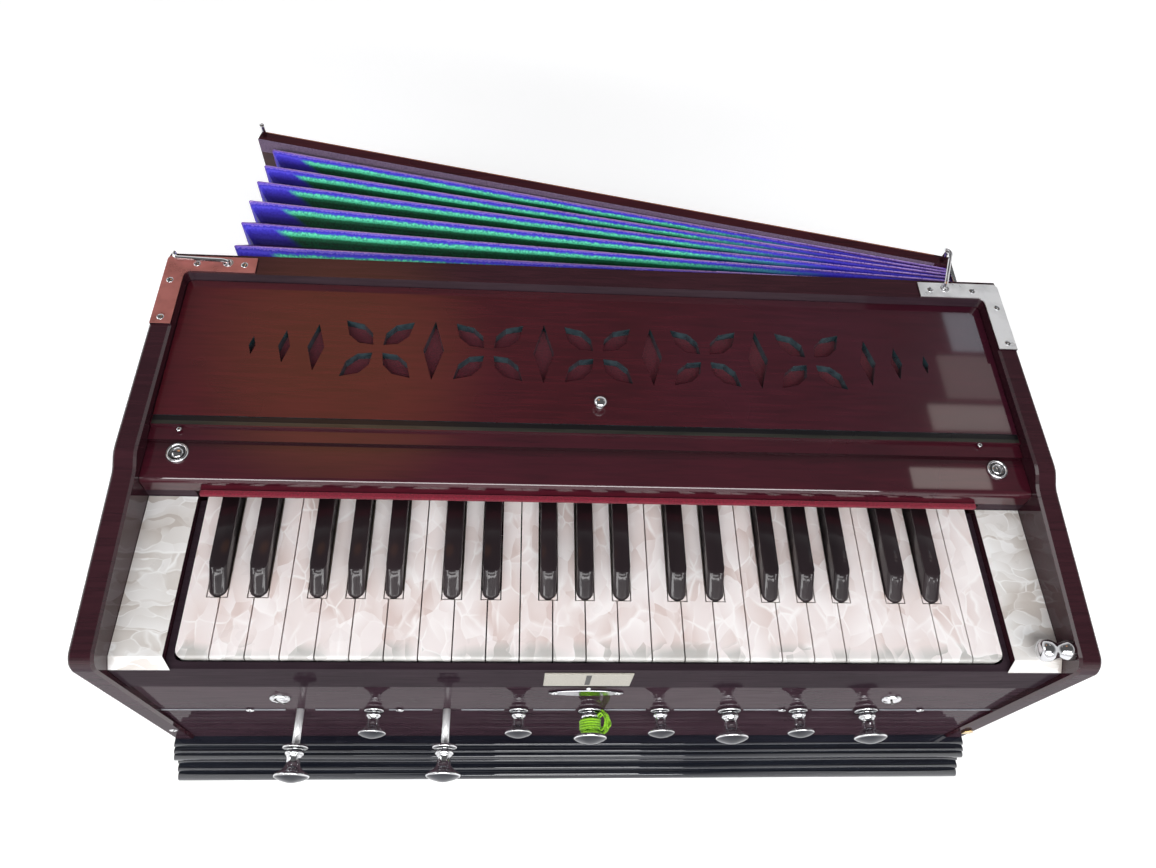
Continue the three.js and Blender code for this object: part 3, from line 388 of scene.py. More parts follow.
# Building helpers: millimetres in, metres out
def piece(name, verts, faces, body, material, slot, smooth=False, uvs=None):
    mesh = bpy.data.meshes.new(name)
    mesh.from_pydata([tuple(MM * c for c in v) for v in verts], [], faces)
    mesh.update()
    if uvs:
        layer = mesh.uv_layers.new(name="UVMap")
        for loop in mesh.loops:
            layer.data[loop.index].uv = uvs[loop.vertex_index]
    if smooth:
        mesh.polygons.foreach_set("use_smooth", [True] * len(mesh.polygons))
    made = bpy.data.objects.new(name, mesh)
    bpy.context.scene.collection.objects.link(made)
    made.data.materials.append(material)
    if body:
        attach(made, body)
    return made


def edit_mesh(made, change):
    bm = bmesh.new()
    bm.from_mesh(made.data)
    change(bm)
    bm.to_mesh(made.data)
    bm.free()


def outward_piece(*args, **options):
    """A piece with all its faces turned outward."""
    made = piece(*args, **options)
    edit_mesh(made, lambda bm: bmesh.ops.recalc_face_normals(bm, faces=bm.faces))
    return made


def soften(made, width, segments=2, angle=32):
    bevel = made.modifiers.new("edge_round", "BEVEL")
    bevel.width = width * MM
    bevel.segments = segments
    bevel.limit_method = "ANGLE"
    bevel.angle_limit = math.radians(angle)
    return made


def rectangle(a0, a1, b0, b1):
    return [(a0, b0), (a1, b0), (a1, b1), (a0, b1)]


def prism(name, points, axis, a, b, body, material, slot, soft=0.0):
    """points is an outline in the other two axes, extruded along axis from a to b."""
    at = "xyz".index(axis)
    n = len(points)
    verts = [p[:at] + (w,) + p[at:] for w in (a, b) for p in points]
    faces = [tuple(range(n)), tuple(range(2 * n - 1, n - 1, -1))]
    faces += [(i, i + n, (i + 1) % n + n, (i + 1) % n) for i in range(n)]
    made = outward_piece(name, verts, faces, body, material, slot)
    return soften(made, soft) if soft else made


def turned(name, profile, origin, direction, body, material, slot, sides=40):
    """profile is (radius, height) pairs, starting and ending on the axis."""
    turn = Vector(UP).rotation_difference(Vector(direction)).to_matrix()
    verts, faces, rings = [], [], []
    for radius, height in profile:
        count = sides if radius else 1
        rings.append(list(range(len(verts), len(verts) + count)))
        for i in range(count):
            a = 2 * math.pi * i / sides
            verts.append(turn @ Vector((radius * math.cos(a), radius * math.sin(a), height)) + Vector(origin))
    for lower, upper in zip(rings, rings[1:]):
        for i in range(sides):
            j = (i + 1) % sides
            if len(lower) == 1:
                faces.append((lower[0], upper[j], upper[i]))
            elif len(upper) == 1:
                faces.append((lower[i], lower[j], upper[0]))
            else:
                faces.append((lower[i], lower[j], upper[j], upper[i]))
    return outward_piece(name, verts, faces, body, material, slot, smooth=True)


def slotted_screw(name, centre, direction, radius, body, turn=0.5, dome=0.28):
    """A domed screw head and its slot; turn is the slot's, and dome the head's rise over its radius."""
    seat, rim, rise = -0.4, 0.1, dome * radius
    profile = [(0, seat), (radius, seat), (radius, rim), (radius * 0.93, rise * 0.5),
               (radius * 0.7, rise * 0.85), (radius * 0.35, rise), (0, rise)]
    turned(name, profile, centre, direction, body, CHROME, "chrome", 24)
    direction = Vector(direction)
    side = direction.orthogonal().normalized()
    side.rotate(Matrix.Rotation(turn, 3, direction))
    across = direction.cross(side)
    top = Vector(centre) + direction * (rise + 0.02)
    half_long, half_wide, depth = radius * 0.8, max(radius * 0.11, 0.22), 0.25
    corners = [top + side * a * half_long + across * b * half_wide - direction * drop
               for drop in (0.0, depth) for a, b in rectangle(-1, 1, -1, 1)]
    faces = [(0, 1, 2, 3), (7, 6, 5, 4), (0, 4, 5, 1), (1, 5, 6, 2), (2, 6, 7, 3), (3, 7, 4, 0)]
    outward_piece(name + "_slot", corners, faces, body, DARK_HOLE, "dark_trim")


# Frame nodes keep their shape and get their finish
def dress(name, material, round_width, segments=2, angle=32):
    made = nodes[name]
    for slot in made.material_slots:
        slot.material = material
    if not made.material_slots:
        made.data.materials.append(material)
    soften(made, round_width, segments, angle)


SHARP_NAMES = [name for name in nodes if name.startswith("key_") and name.endswith("_black")]

dress("base_plinth", DARK, 0.4, angle=25)
dress("case_body", LACQUER, 0.6)
nodes["case_body"].modifiers["edge_round"].use_clamp_overlap = False
dress("key_surround", SLIP, 0.5)
dress("key_cover_rail", RAIL, 1.2, segments=4)
dress("fret_lid", LID, 0.5)
dress("bellows_board", BOARD, 0.5)
for name in nodes:
    if name.startswith("key_") and name.endswith("_white"):
        dress(name, KEYS, 0.25)
    if name in SHARP_NAMES:
        dress(name, SHARP_LEVERS, 0.8, 3, 20)
    if name.startswith("latch_hook"):
        dress(name, CHROME, 0.4)


# Reeds of the base moulding, round and smooth: reach over BASE_PROUD, middle height and radius over BASE_H
REEDS = ((0.22, 0.94, 0.06), (0.4, 0.865, 0.06), (0.56, 0.74, 0.1), (0.57, 0.42, 0.06), (0.78, 0.31, 0.07),
         (1, 0.13, 0.13))


def base_reeds():
    proud, half = 0.05, CASE_W / 2 - 0.02
    for i, (reach, height, share) in enumerate(REEDS):
        radius = share * BASE_H
        y, z = FRONT_Y - reach * BASE_PROUD + radius, height * BASE_H + proud
        arc = [(y + (radius + proud) * math.cos(t), z + (radius + proud) * math.sin(t))
               for t in (math.radians(88 + 184 * k / 22) for k in range(23))]
        made = prism(f"base_reed_{i + 1}", arc, "x", -half, half, "case", DARK, "lacquer")
        for face in made.data.polygons:
            face.use_smooth = abs(face.normal.x) < 0.5


base_reeds()


# Caps of the sharps: round in plan at the front, sloping, with rounded upper edges
SHARP_BASE, SHARP_RISE, SHARP_SLANT, SHARP_NOSE, SHARP_BACK = -101.8, 11.0, 14.0, 2.4, -28.0
CAP_LEAD, CAP_SKIN, CAP_FOOT = 0.62, 0.14, 1.6
CAP_BODY = "case"


def cap_front():
    """Side view of the cap's front: (distance back from its base, height over the keys), from foot to top."""
    run, rise, top = SHARP_SLANT - SHARP_NOSE, SHARP_RISE - SHARP_NOSE, SHARP_RISE + CAP_SKIN
    steps = 8
    front = [(-CAP_LEAD, -CAP_FOOT), (-CAP_LEAD, 0.0)]
    front += [(-CAP_LEAD + i / steps * run, i / steps * rise) for i in range(1, steps)]
    for i in range(steps + 1):
        t = i / steps
        a, b, c = (1 - t) ** 2, 2 * t * (1 - t), t * t
        front.append((a * (run - CAP_LEAD) + b * (SHARP_SLANT - 0.3) + c * (SHARP_SLANT + SHARP_NOSE),
                      a * rise + b * top + c * top))
    return front


def sharp_cap(name):
    box_low, box_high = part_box(name)
    left, right = box_low[0] / MM - 0.1, box_high[0] / MM + 0.1
    middle, half = (left + right) / 2, (right - left) / 2
    edge_height, edge_radius = 0.9, 1.05
    verts, faces, rings = [], [], []
    for behind, height in cap_front():
        over = max(0.0, height - (SHARP_RISE - edge_height))
        inset = 1.0 - math.sqrt(max(0.0, 1.0 - (over / edge_radius) ** 2))
        r = half - inset
        tip = SHARP_BASE + behind + inset * 0.3
        turns = [math.pi * k / 16 for k in range(17)]
        ring = [(middle - r, SHARP_BACK)]
        ring += [(middle - r * math.cos(turn), tip + r - r * math.sin(turn)) for turn in turns]
        ring += [(middle + r, SHARP_BACK)]
        rings.append(list(range(len(verts), len(verts) + len(ring))))
        verts += [(x, y, KEY_TOP + height) for x, y in ring]
    for lower, upper in zip(rings, rings[1:]):
        n = len(lower)
        faces += [(lower[i], lower[(i + 1) % n], upper[(i + 1) % n], upper[i]) for i in range(n)]
    faces += [tuple(reversed(rings[0])), tuple(rings[-1])]
    outward_piece(name + "_cap", verts, faces, CAP_BODY, SHARPS, "ebony", smooth=True)


def pearl_chips(name):
    """The white keys' tops in the corners of the notch, beside the round front of the cap."""
    box_low, box_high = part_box(name)
    left, right = box_low[0] / MM, box_high[0] / MM
    middle, r = (left + right) / 2, (right - left) / 2 + 0.1
    tip = SHARP_BASE - CAP_LEAD
    gap, reach = 0.22, 0.38
    for tag, side in SIDES:
        arc = [(middle + side * (r + gap) * math.sin(t), tip + r - (r + gap) * math.cos(t))
               for t in (math.radians(22 + 8.5 * i) for i in range(9))]
        outer = middle + side * (r + reach)
        shape = arc + [(outer, arc[-1][1]), (outer, tip - 0.05), (arc[0][0], tip - 0.05)]
        prism(f"{name}_chip_{tag}", shape, "z", KEY_TOP - 0.9, KEY_TOP - 0.12, CAP_BODY, KEYS, "pearl", 0.05)


for name in SHARP_NAMES:
    sharp_cap(name)
    pearl_chips(name)


# Bellows: each half fold is a strip between two rings of the fan, cut in three along its length
RING_SHARES = [0, 0.124, 0.217, 0.31, 0.4, 0.492, 0.576, 0.66, 0.732, 0.804, 0.878, 0.951, 1]
STACK, SEAT, CARD = 21.0, 0.3, 0.7
RIDGE_END, RIDGE_RIGHT, RIDGE_TOP, FOLD_DEPTH = 562.0, 5.0, 2.0, 11.0
RIDGE_TAPER, RIDGE_CORNER = 4.0, 1.2
CUTS = [-RIDGE_END * 2 / 3, -RIDGE_END / 3]
FOLD_STEPS = 6


def fan(u, v, angle):
    """A point at u along the board and v across it, with the board turned about the hinge pin."""
    c, s = math.cos(angle), math.sin(angle)
    return (PIN_X + u * c + v * s, PIN_Y - u * s + v * c)


def ring_v(share):
    return -HALF_BOARD - SEAT - (1 - share) * (STACK - 2 * SEAT)


def ring_path(inset, share):
    left, right = -RIDGE_END + RIDGE_TAPER * share + inset, RIDGE_RIGHT - inset
    top, base = BOARD_TOP - RIDGE_TOP - inset, BOARD_LOW + RIDGE_TOP + inset
    cut = FOLD_DEPTH / 2 if inset else RIDGE_CORNER
    run = [left + cut, *CUTS, right - cut]
    lower = [(u, base) for u in run]
    upper = [(u, top) for u in reversed(run)]
    return lower + [(right, base + cut), (right, top - cut)] + upper + [(left, top - cut), (left, base + cut)]


def half_fold(a, b, from_valley, third):
    """One third of the strip between the rings at the shares a and b."""
    verts, faces, uvs = [], [], []
    near = ring_path(FOLD_DEPTH if from_valley else 0.0, a)
    far = ring_path(0.0 if from_valley else FOLD_DEPTH, b)
    for edge in range(len(near)):
        after = (edge + 1) % len(near)
        middle = (near[edge][0] + near[after][0] + far[edge][0] + far[after][0]) / 4
        if sum(middle >= cut for cut in CUTS) != third:
            continue
        for k in range(FOLD_STEPS):
            faces.append(tuple(range(len(verts), len(verts) + 4)))
            for corner, step in ((edge, k), (after, k), (after, k + 1), (edge, k + 1)):
                s = step / FOLD_STEPS
                share = a + (b - a) * s
                u, z = (near[corner][i] * (1 - s) + far[corner][i] * s for i in range(2))
                x, y = fan(u, ring_v(share), share * OPEN)
                verts.append((x, y, z))
                uvs.append(((u + RIDGE_END) / 100.0, 1 - s if from_valley else s))
    return verts, faces, uvs


def pleats():
    for ring, (a, b) in enumerate(zip(RING_SHARES, RING_SHARES[1:])):
        from_valley = ring % 2 == 0
        for third in range(3):
            verts, faces, uvs = half_fold(a, b, from_valley, third)
            # Strips that start at a valley face the front and take the lit cloth; the others take the copy in
            # painted shade
            made = piece(f"pleat_{ring + 1:02d}_{'abc'[third]}", verts, faces, None,
                         LIT_CLOTH if from_valley else SHADED_CLOTH, None, uvs=uvs)
            edit_mesh(made, lambda bm: bmesh.ops.remove_doubles(bm, verts=bm.verts, dist=1e-6))
            thick = made.modifiers.new("card", "SOLIDIFY")
            thick.thickness = CARD * MM
            thick.offset = 1.0
            with bpy.context.temp_override(object=made, active_object=made, selected_objects=[made]):
                bpy.ops.object.modifier_apply(modifier="card")
            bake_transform(made)
            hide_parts("bellows_pleats")


pleats()


# Pearl facing of the two key blocks: flat top, and a front that slopes over the key slip, mitred inside
def block_facing(tag, side):
    top, proud = 224.7, 0.5
    front_y, front_z = -149.6, 219.7
    back_y = COVER_FRONT - 0.3
    inner, outer = KEYS_HALF + 5.0, INNER_X - 0.2
    points = [(inner, back_y, top), (outer, back_y, top), (outer, KEY_FRONT, top), (inner, KEY_FRONT, top),
              (KEYS_HALF + 0.4, front_y, front_z), (outer, front_y, front_z)]
    verts = [(side * x, y, z + rise) for rise in (0.0, proud) for x, y, z in points]
    faces = [(0, 1, 2, 3), (3, 2, 5, 4), (6, 9, 8, 7), (9, 10, 11, 8), (0, 6, 7, 1), (1, 7, 8, 2),
             (2, 8, 11, 5), (5, 11, 10, 4), (4, 10, 9, 3), (3, 9, 6, 0)]
    soften(outward_piece("block_facing_" + tag, verts, faces, "case", BLOCKS, "pearl"), 0.2)


for tag, side in SIDES:
    block_facing(tag, side)


# Felt under the cover rail's nose; in front of the lid, a near-black strip of painted shadow along the gap
# and an olive strip of painted reflection; lining under the fretwork
def felt_and_strips():
    nose = [(-37.2, 232.5), (-33.3, 232.5), (-33.3, 235.4), (-36.6, 235.4)]
    half = KEYS_HALF + 1
    prism("rail_felt", nose, "x", -half, half, "case", FELT, "dark_trim", 0.5)
    half, low = INNER_X - 1, LID_TOP - 0.05
    near = rectangle(7.2, 10.0, low, 252.7)
    far = rectangle(10.0, 13.6, low, 252.8)
    # Near-black strip: painted shadow in the gap; olive strip: painted reflection on the step in front of it
    prism("lid_gap_strip", far, "x", -half, half, "case", GAP_SHADOW, "dark_trim", 0.1)
    prism("lid_edge_strip", near, "x", -half, half, "case", EDGE_REFLECTION, "dark_trim", 0.1)
    half, sheet = 294.0, rectangle(24.0, 121.5, 244.3, 245.35)
    prism("fret_lining", sheet, "x", -half, half, "lid", LINING, "dark_trim", 0.3)


felt_and_strips()


# Stops: rod and inner collar, then flange, ring, neck and mushroom head as shares of radius and length
HEAD_SHARES = [(0.70, 0.0), (0.72, 0.03), (0.71, 0.07), (0.58, 0.09), (0.42, 0.10), (0.44, 0.125),
               (0.52, 0.15), (0.54, 0.19), (0.52, 0.235), (0.46, 0.26), (0.42, 0.29), (0.40, 0.36),
               (0.40, 0.45), (0.42, 0.53), (0.50, 0.61), (0.66, 0.68), (0.86, 0.74), (0.97, 0.78),
               (1.0, 0.815), (0.975, 0.85), (0.86, 0.885), (0.66, 0.93), (0.42, 0.965), (0.2, 0.992),
               (0.0, 1.0)]
LARGE_STOP, SMALL_STOP = 12.2, 10.0
ROD_RADIUS, COLLAR_RADIUS, COLLAR_LONG, STOP_GAP = 2.6, 5.5, 3, 0.3
PULLED_OUT = (0, 2)


def stop(index):
    radius = SMALL_STOP if index % 2 else LARGE_STOP
    out = STOP_TRAVEL if index in PULLED_OUT else 0.0
    inner = -(PANEL_DEPTH + STOP_TRAVEL + STOP_GAP + 2 * COLLAR_LONG)
    collar, collar_end = inner + COLLAR_LONG, inner + 2 * COLLAR_LONG
    profile = [(0, inner), (ROD_RADIUS, inner), (ROD_RADIUS, collar), (COLLAR_RADIUS, collar),
               (COLLAR_RADIUS, collar_end), (ROD_RADIUS, collar_end), (ROD_RADIUS, STOP_GAP)]
    profile += [(r * radius, STOP_GAP + h * 2 * radius) for r, h in HEAD_SHARES]
    name = f"stop_{index + 1}"
    place = ((index - STOPS // 2) * STOP_PITCH, PANEL_Y - out, STOP_Z)
    made = turned(name + "_turned", profile, place, AHEAD, name, KNOB, "chrome", 48)
    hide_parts(name)
    sleeve = [(0, -36.5), (2.68, -36.5), (2.68, 0.25), (0, 0.25)]
    turned(name + "_rod", sleeve, place, AHEAD, name, PLATE, "chrome", 24)


for index in range(STOPS):
    stop(index)


# Corner plates as bright skins over the carried solids, with their screws
def corner_skin(tag, side):
    outer_x, outer_y, inner_y, corner = 319.4, 147.0, 133.4, 5
    leg_x, leg_y, cut, skin = 65, 63, 2.5, 0.1
    under, top = 261.05, 262.35
    arc = [(INNER_X - corner + corner * math.sin(t), inner_y - corner + corner * math.cos(t))
           for t in (math.radians(15 * i) for i in range(7))]
    shape = [(outer_x - leg_x, inner_y - 0.05)] + arc + [
        (INNER_X, outer_y - leg_y), (outer_x + skin, outer_y - leg_y), (outer_x + skin, outer_y - cut),
        (outer_x - cut, outer_y + skin), (outer_x - leg_x, outer_y + skin)]
    shape = [(side * x, y) for x, y in shape]
    metal = PLATE if side > 0 else COPPERY
    prism("corner_plate_" + tag, shape, "z", under, top, "case", metal, "chrome", 0.25)
    for i, (x, y) in enumerate([(297.4, 139.8), (263.2, 140.0), (313.6, 123.6), (313.0, 89.6)]):
        slotted_screw(f"plate_screw_{tag}_{i + 1}", (side * x, y, top - 0.05), UP, 2.6, "case", 0.7 * i, 0.24)


for tag, side in SIDES:
    corner_skin(tag, side)


# Spool on the right cheek and the lid's knob, as shares of the radius and of the length
SPOOL_SHARES = [(0, 1.0), (0.5, 0.995), (0.72, 0.97), (0.93, 0.92), (1.02, 0.86), (1.02, 0.68), (0.92, 0.6),
                (0.78, 0.52), (0.71, 0.44), (0.71, 0.36), (0.8, 0.27), (0.92, 0.20), (0.93, 0.02), (0, 0.02)]
LID_KNOB_SHARES = [(0, 0.0), (0.66, 0.0), (0.66, 0.12), (0.5, 0.19), (0.46, 0.3), (0.47, 0.42), (0.8, 0.5),
                   (1.02, 0.62), (1.04, 0.72), (1.02, 0.82), (0.8, 0.93), (0.5, 1.0), (0, 1.03)]


def turned_shares(name, shares, radius, length, origin, direction, body):
    turned(name, [(r * radius, h * length) for r, h in shares], origin, direction, body, CHROME, "chrome")


turned_shares("spool_turned", SPOOL_SHARES, 7.0, 23.0, (INNER_X, -140.0, 238.0), (-1, 0, 0), "case")
turned_shares("lid_knob_turned", LID_KNOB_SHARES, 4.4, 8.0, (0, LID_FRONT + 15.5, LID_TOP + 0.05), UP, "lid")


# Cup washers and screws on the cover rail, and the two pins beside the lid
def cover_fittings():
    screw_x, screw_y, rail_top = COVER_SCREWS
    cup = [(0, 0.0), (7.4, 0.0), (7.6, 0.6), (7.2, 1.6), (6.5, 2.1), (5.8, 1.8), (5.4, 0.5), (5.3, 0.25),
           (0, 0.25)]
    groove = [(0, 0.3), (5.25, 0.3), (5.25, 0.45), (0, 0.45)]
    for tag, side in SIDES:
        place = (side * screw_x, screw_y, rail_top)
        turned("cup_groove_" + tag, groove, place, UP, "case", DARK_HOLE, "dark_trim")
        turned("cup_washer_" + tag, cup, place, UP, "case", CHROME, "chrome")
        slotted_screw("cup_screw_" + tag, place[:2] + (rail_top + 0.8,), UP, 4.0, "case", 0.9 * side)
    for tag, x, y in (("left", -285.0, 3.3), ("right", 273.8, 4.9)):
        slotted_screw("lid_side_pin_" + tag, (x, y, LID_TOP - 0.2), UP, 1.7, "case", 0.4, 0.5)


cover_fittings()


# Bead along the middle of the stop panel, broken where the stops come through; its pale grey is a painted
# highlight
def panel_beads():
    section = [(PANEL_Y + 0.55, STOP_Z - 0.9), (PANEL_Y + 0.55, STOP_Z + 1.3), (PANEL_Y - 0.5, STOP_Z + 1.2),
               (PANEL_Y - 0.85, STOP_Z + 0.2), (PANEL_Y - 0.5, STOP_Z - 0.8)]
    end, clear = INNER_X - 0.3, 10.5
    middles = [(i - STOPS // 2) * STOP_PITCH for i in range(STOPS)]
    starts = [-end] + [x + clear for x in middles]
    ends = [x - clear for x in middles] + [end]
    for i, (x0, x1) in enumerate(zip(starts, ends)):
        prism(f"panel_bead_{i + 1}", section, "x", x0, x1, "case", BEAD_HIGHLIGHT, "lacquer", 0.2)


panel_beads()


# Bare cream plate with its slot on the key slip, and the small staple under it
def slip_fittings():
    card = rectangle(-37.0, 20.3, 191.0, 218.4)
    slot = rectangle(-10.0, -6.6, 194.0, 215.5)
    prism("slip_plate", card, "y", FRONT_Y - 1, FRONT_Y, "case", CREAM, "pearl", 0.3)
    prism("slip_plate_slot", slot, "y", FRONT_Y - 1.15, FRONT_Y - 0.8, "case", DARK_HOLE, "dark_trim", 0.1)
    staple = [(0, 0), (1.6, 0), (1.7, 1.6), (1.1, 2.4), (0, 2.6)]
    turned("slip_staple", staple, (-6.5, FRONT_Y, 186.3), AHEAD, "case", CHROME, "chrome", 20)


slip_fittings()


# Fittings of the stop panel: bolts, bead screws, the middle stop's escutcheon, corner screw and catch
def panel_fittings():
    for tag, side in SIDES:
        slotted_screw("panel_bolt_" + tag, (side * 216.0, PANEL_Y, 148.5), AHEAD, 7.4, "case", 1.2, 0.42)
    for i, x in enumerate((-243.2, -137.6, 143.8, 249.8)):
        slotted_screw(f"bead_screw_{i + 1}", (x, PANEL_Y - 0.8, STOP_Z + 0.2), AHEAD, 3.0, "case", 0.6 + i)
    middle, height, reach, rise, face = -6.5, 165.0, 26.0, 6.0, PANEL_Y - 1.2
    lens = [(middle + reach * math.cos(t), height + rise * math.sin(t) * abs(math.sin(t)) ** 0.3)
            for t in (2 * math.pi * k / 36 for k in range(36))]
    prism("middle_escutcheon", lens, "y", face, PANEL_Y + 0.1, "case", DULL_CHROME, "chrome", 0.4)
    for tag, side in SIDES:
        place = (middle + side * 21.7, face + 0.05, height)
        slotted_screw("escutcheon_screw_" + tag, place, AHEAD, 2.6, "case", 0.9)
    slotted_screw("corner_screw_left", (-311.5, -150.6, 64.5), AHEAD, 3.2, "case", 0.3)
    catch = [(308.5, 55.0), (316.0, 55.0), (317.0, 59.5), (313.5, 64.5), (309.0, 62.0)]
    prism("brass_catch", catch, "y", -152.4, -150.4, "case", GOLD, "chrome", 0.5)


panel_fittings()


def tube(name, path, radius, sides):
    """A round thread along the path."""
    points = [Vector(p) for p in path]
    verts, faces = [], []
    side = None
    for i, point in enumerate(points):
        ahead = (points[min(i + 1, len(points) - 1)] - points[max(i - 1, 0)]).normalized()
        side = ahead.orthogonal() if side is None else side - ahead * side.dot(ahead)
        side = side.normalized()
        over = ahead.cross(side)
        for k in range(sides):
            turn = 2 * math.pi * k / sides
            verts.append(point + (side * math.cos(turn) + over * math.sin(turn)) * radius)
    for i in range(len(points) - 1):
        for k in range(sides):
            n = (k + 1) % sides
            faces.append((i * sides + k, i * sides + n, (i + 1) * sides + n, (i + 1) * sides + k))
    faces.append(tuple(reversed(range(sides))))
    faces.append(tuple(range((len(points) - 1) * sides, len(points) * sides)))
    outward_piece(name, verts, faces, "stop_5", THREAD, "pleat_cloth", smooth=True)


# Thread wound on the neck of the middle stop in three layers, and the loops that hang beside it
NECK, NECK_FRONT, NECK_LONG = 5.4, PANEL_Y - 7.5, 7.6
TURNS, TURN_STEPS, LAYERS, LAYER_RISE = 13, 16, 3, 0.9
LOOPS = ((7.0, 7.6, 2.0, 1.2), (8.6, 6.8, 0.4, 0.0), (6.0, 8.0, 3.4, -1.4), (9.6, 4.6, -2.0, 2.2),
         (7.8, 7.8, -1.0, -2.6), (5.2, 6.0, 4.6, 0.6))
LOOP_STEPS = 28


def neck_thread():
    wound = []
    for i in range(TURNS * TURN_STEPS + 1):
        share = i / (TURNS * TURN_STEPS)
        turn = 2 * math.pi * i / TURN_STEPS
        lap = abs((LAYERS * share) % 2 - 1)
        layer = NECK + LAYER_RISE * min(LAYERS - 1, int(LAYERS * share)) + 0.2 * math.sin(5 * turn)
        wound.append((layer * math.cos(turn), NECK_FRONT - NECK_LONG * (1 - lap),
                      STOP_Z + layer * math.sin(turn)))
    tube("neck_thread", wound, 0.8, 8)
    for k, (reach, half, swing, lift) in enumerate(LOOPS):
        loop = []
        for i in range(LOOP_STEPS + 1):
            t = 2 * math.pi * i / LOOP_STEPS
            loop.append((NECK + reach / 2 * (1 - math.cos(t)),
                         PANEL_Y - 9.4 + half * math.sin(t) + 0.5 * math.cos(2 * t + k),
                         STOP_Z + lift + swing * math.sin(t / 2) + 0.9 * math.sin(3 * t + k)))
        tube(f"thread_loop_{k + 1}", loop, 0.72, 6)


neck_thread()


# Bright skins of the hinge plates and their barrels, and washers under the hooks
def hinge_skins():
    arm = [(290.92, 150.05), (294.08, 150.05), (294.08, 177.88), (288.9, 177.88), (288.9, 174.72),
           (290.92, 174.72)]
    barrel = [(4.3, -0.05), (4.72, -0.05), (4.72, 14.05), (4.3, 14.05), (4.3, -0.05)]
    for tag, z in (("lower", 42.0), ("upper", 238.0)):
        prism("hinge_plate_" + tag, arm, "z", z - 0.05, z + 14.05, "case", CHROME, "chrome", 0.25)
        turned("hinge_barrel_" + tag, barrel, (PIN_X, PIN_Y, z), UP, "case", CHROME, "chrome", 28)
    washer = [(1.9, 0.0), (3.7, 0.0), (3.8, 0.35), (3.4, 0.6), (1.9, 0.6), (1.9, 0.0)]
    for tag, side in SIDES:
        place = (side * HOOK_POST[0], HOOK_POST[1], 262.3)
        turned("hook_washer_" + tag, washer, place, UP, "case", CHROME, "chrome", 28)


hinge_skins()


# On the bellows board: the card along its inner top edge, an orange line of painted highlight along its back
# edge, and its pins' sleeves
def board_point(u, v, z):
    return fan(u, v, OPEN) + (z,)


def board_strip(name, v0, v1, deep, material, slot):
    left, right = -RIDGE_END - 9.7, -6.3
    corners = [board_point(u, v, z) for z in (BOARD_TOP - deep, BOARD_TOP + 0.12)
               for u, v in rectangle(left, right, v0, v1)]
    made = outward_piece(name, corners, [(3, 2, 1, 0), (4, 5, 6, 7), (0, 1, 5, 4), (1, 2, 6, 5), (2, 3, 7, 6),
                                         (3, 0, 4, 7)], "bellows", material, slot)
    soften(made, 0.08)


def board_trim():
    board_strip("board_inner_card", -HALF_BOARD - 0.18, -HALF_BOARD + 0.6, 13.0, LILAC, "pleat_cloth")
    # Painted highlight along the rounded back edge
    board_strip("board_back_edge", HALF_BOARD - 0.9, HALF_BOARD - 0.02, 0.6, EDGE_HIGHLIGHT, "lacquer")
    sleeve = [(0, 0), (1.88, 0), (1.88, 11.2), (1.5, 11.75), (0, 11.78)]
    for tag, u in (("right", 0.0), ("left", -2 * PIN_X)):
        place = board_point(u, 0.0, BOARD_TOP + 0.05)
        turned("latch_pin_" + tag, sleeve, place, UP, "bellows", CHROME, "chrome", 24)


board_trim()


# Floor, lamps and world: pale surroundings that are seen directly and in mirrors but add no light
def seen(m):
    path = m.node("ShaderNodeLightPath", {})
    return m.math("MAXIMUM", m.math("MAXIMUM", path["Is Camera Ray"], path["Is Glossy Ray"]),
                  path["Is Transmission Ray"])


def floor():
    m = Mat("pale_floor")
    pale = m.ramp(m.noise(2.0), [(0.3, (0.80, 0.80, 0.80)), (0.7, (0.82, 0.82, 0.82))])
    m.set(Base_Color=pale, Roughness=0.9)
    glow = m.range(m.vector_math("LENGTH", m.object)["Value"], 0.41, 0.78, 1.0, 3.2)
    glow = m.node("ShaderNodeEmission", {"Strength": m.math("MULTIPLY", seen(m), glow)})["Emission"]
    both = m.node("ShaderNodeAddShader", {0: m.bsdf.outputs["BSDF"], 1: glow})["Shader"]
    m.feed(m.tree.nodes["Material Output"].inputs["Surface"], both)
    reach, level = 20000.0, -0.5
    corners = [(x, y, level) for x, y in rectangle(-reach, reach, -reach, reach)]
    made = piece("floor", corners, [(0, 1, 2, 3)], None, m.mat, None)


floor()


def lamp(name, location, target, size, power, color=(1.0, 1.0, 1.0)):
    data = bpy.data.lights.new(name, "AREA")
    data.color = color
    data.shape = "RECTANGLE"
    data.size, data.size_y = size
    data.energy = power
    made = bpy.data.objects.new(name, data)
    made.location = location
    made.rotation_euler = (Vector(target) - Vector(location)).to_track_quat("-Z", "Y").to_euler()
    bpy.context.scene.collection.objects.link(made)
    return made


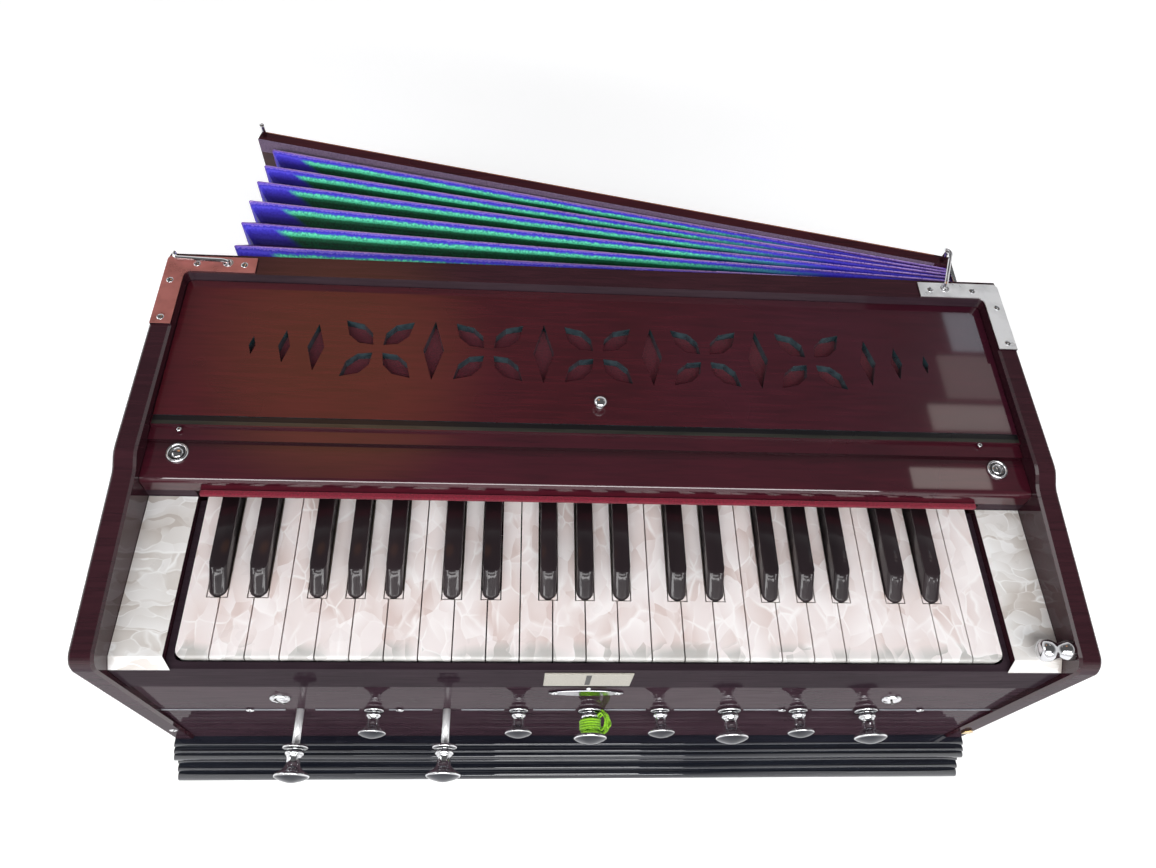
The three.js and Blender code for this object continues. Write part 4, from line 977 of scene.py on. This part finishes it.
# Softboxes, and four window panes whose mirror images lie on the lid's right end; all in metres and watts
COOL, PALE_WARM = (0.75, 0.9, 1.0), (1.0, 0.92, 0.86)
lamp("front_softbox", (0.0, -1.5, 2.2), (0, 0, 0.15), (2.4, 0.6), 37.0)
lamp("front_strip", (-0.1, -1.9, 1.35), (0, 0, 0.2), (3.8, 0.2), 32.0)
lamp("left_softbox", (-2.2, 0.2, 1.6), (0, 0, 0.15), (1.2, 1.2), 9.0)
lamp("rear_softbox", (1.8, 1.8, 1.5), (0, 0, 0.15), (1.2, 1.0), 11.0).visible_glossy = False
for tag, x, y, wide, deep, power, tint in (("far", 1.406, 1.46, 0.12, 0.16, 0.13, COOL),
                                           ("middle", 1.385, 1.28, 0.20, 0.165, 0.11, PALE_WARM),
                                           ("near", 1.338, 1.127, 0.25, 0.094, 0.15, PALE_WARM),
                                           ("low", 1.233, 0.92, 0.24, 0.07, 0.09, PALE_WARM)):
    lamp("window_" + tag, (x, y, 2.0), (x, y + 0.0001, 0.0), (wide, deep), power, tint)


def studio():
    """A sky that lights evenly. In mirrors it is white low down and dark overhead, with one warm patch."""
    world = bpy.data.worlds.new("studio")
    world.use_nodes = True
    bpy.context.scene.world = world
    w = Nodes(world.node_tree)
    mirrored = w.ramp(w.parts(w.generated)["Z"], [(0.30, (1, 1, 1)), (0.66, (0.13, 0.13, 0.13))])
    toward = w.vector_math("DOT_PRODUCT", w.generated, (-0.185, 0.56, 0.806))["Value"]
    patch = w.range(toward, 0.0, 1.0, 0.984, 0.999, "SMOOTHSTEP")
    mirrored = w.mix(patch, mirrored, (0.95, 0.44, 0.20))
    w.feed(w.tree.nodes["Background"].inputs["Color"], w.mix(seen(w), (0.26, 0.26, 0.27), mirrored))


studio()


# Camera at the photograph's place, in degrees and metres
YAW, PITCH, ROLL = 8.009, 57.926, 8.1935
CAMERA_PLACE = (-0.059802, -0.314189, 0.795707)


def camera():
    yaw, pitch, roll = math.radians(YAW), math.radians(PITCH), math.radians(ROLL)
    forward = Vector((math.sin(yaw) * math.cos(pitch), math.cos(yaw) * math.cos(pitch), -math.sin(pitch)))
    right = Vector((math.cos(yaw), -math.sin(yaw), 0.0))
    up = right.cross(forward)
    c, s = math.cos(roll), math.sin(roll)
    data = bpy.data.cameras.new("camera")
    data.sensor_width = 36.0
    data.lens = 28.288
    data.shift_x = -0.00396
    data.shift_y = -0.0173
    data.clip_start = 0.01
    made = bpy.data.objects.new("camera", data)
    placed = Matrix((c * right + s * up, -s * right + c * up, -forward)).transposed().to_4x4()
    placed.translation = Vector(CAMERA_PLACE)
    made.matrix_world = placed
    bpy.context.scene.collection.objects.link(made)
    bpy.context.scene.camera = made


camera()
bpy.context.scene.view_settings.view_transform = "Standard"

bpy.context.view_layer.update()
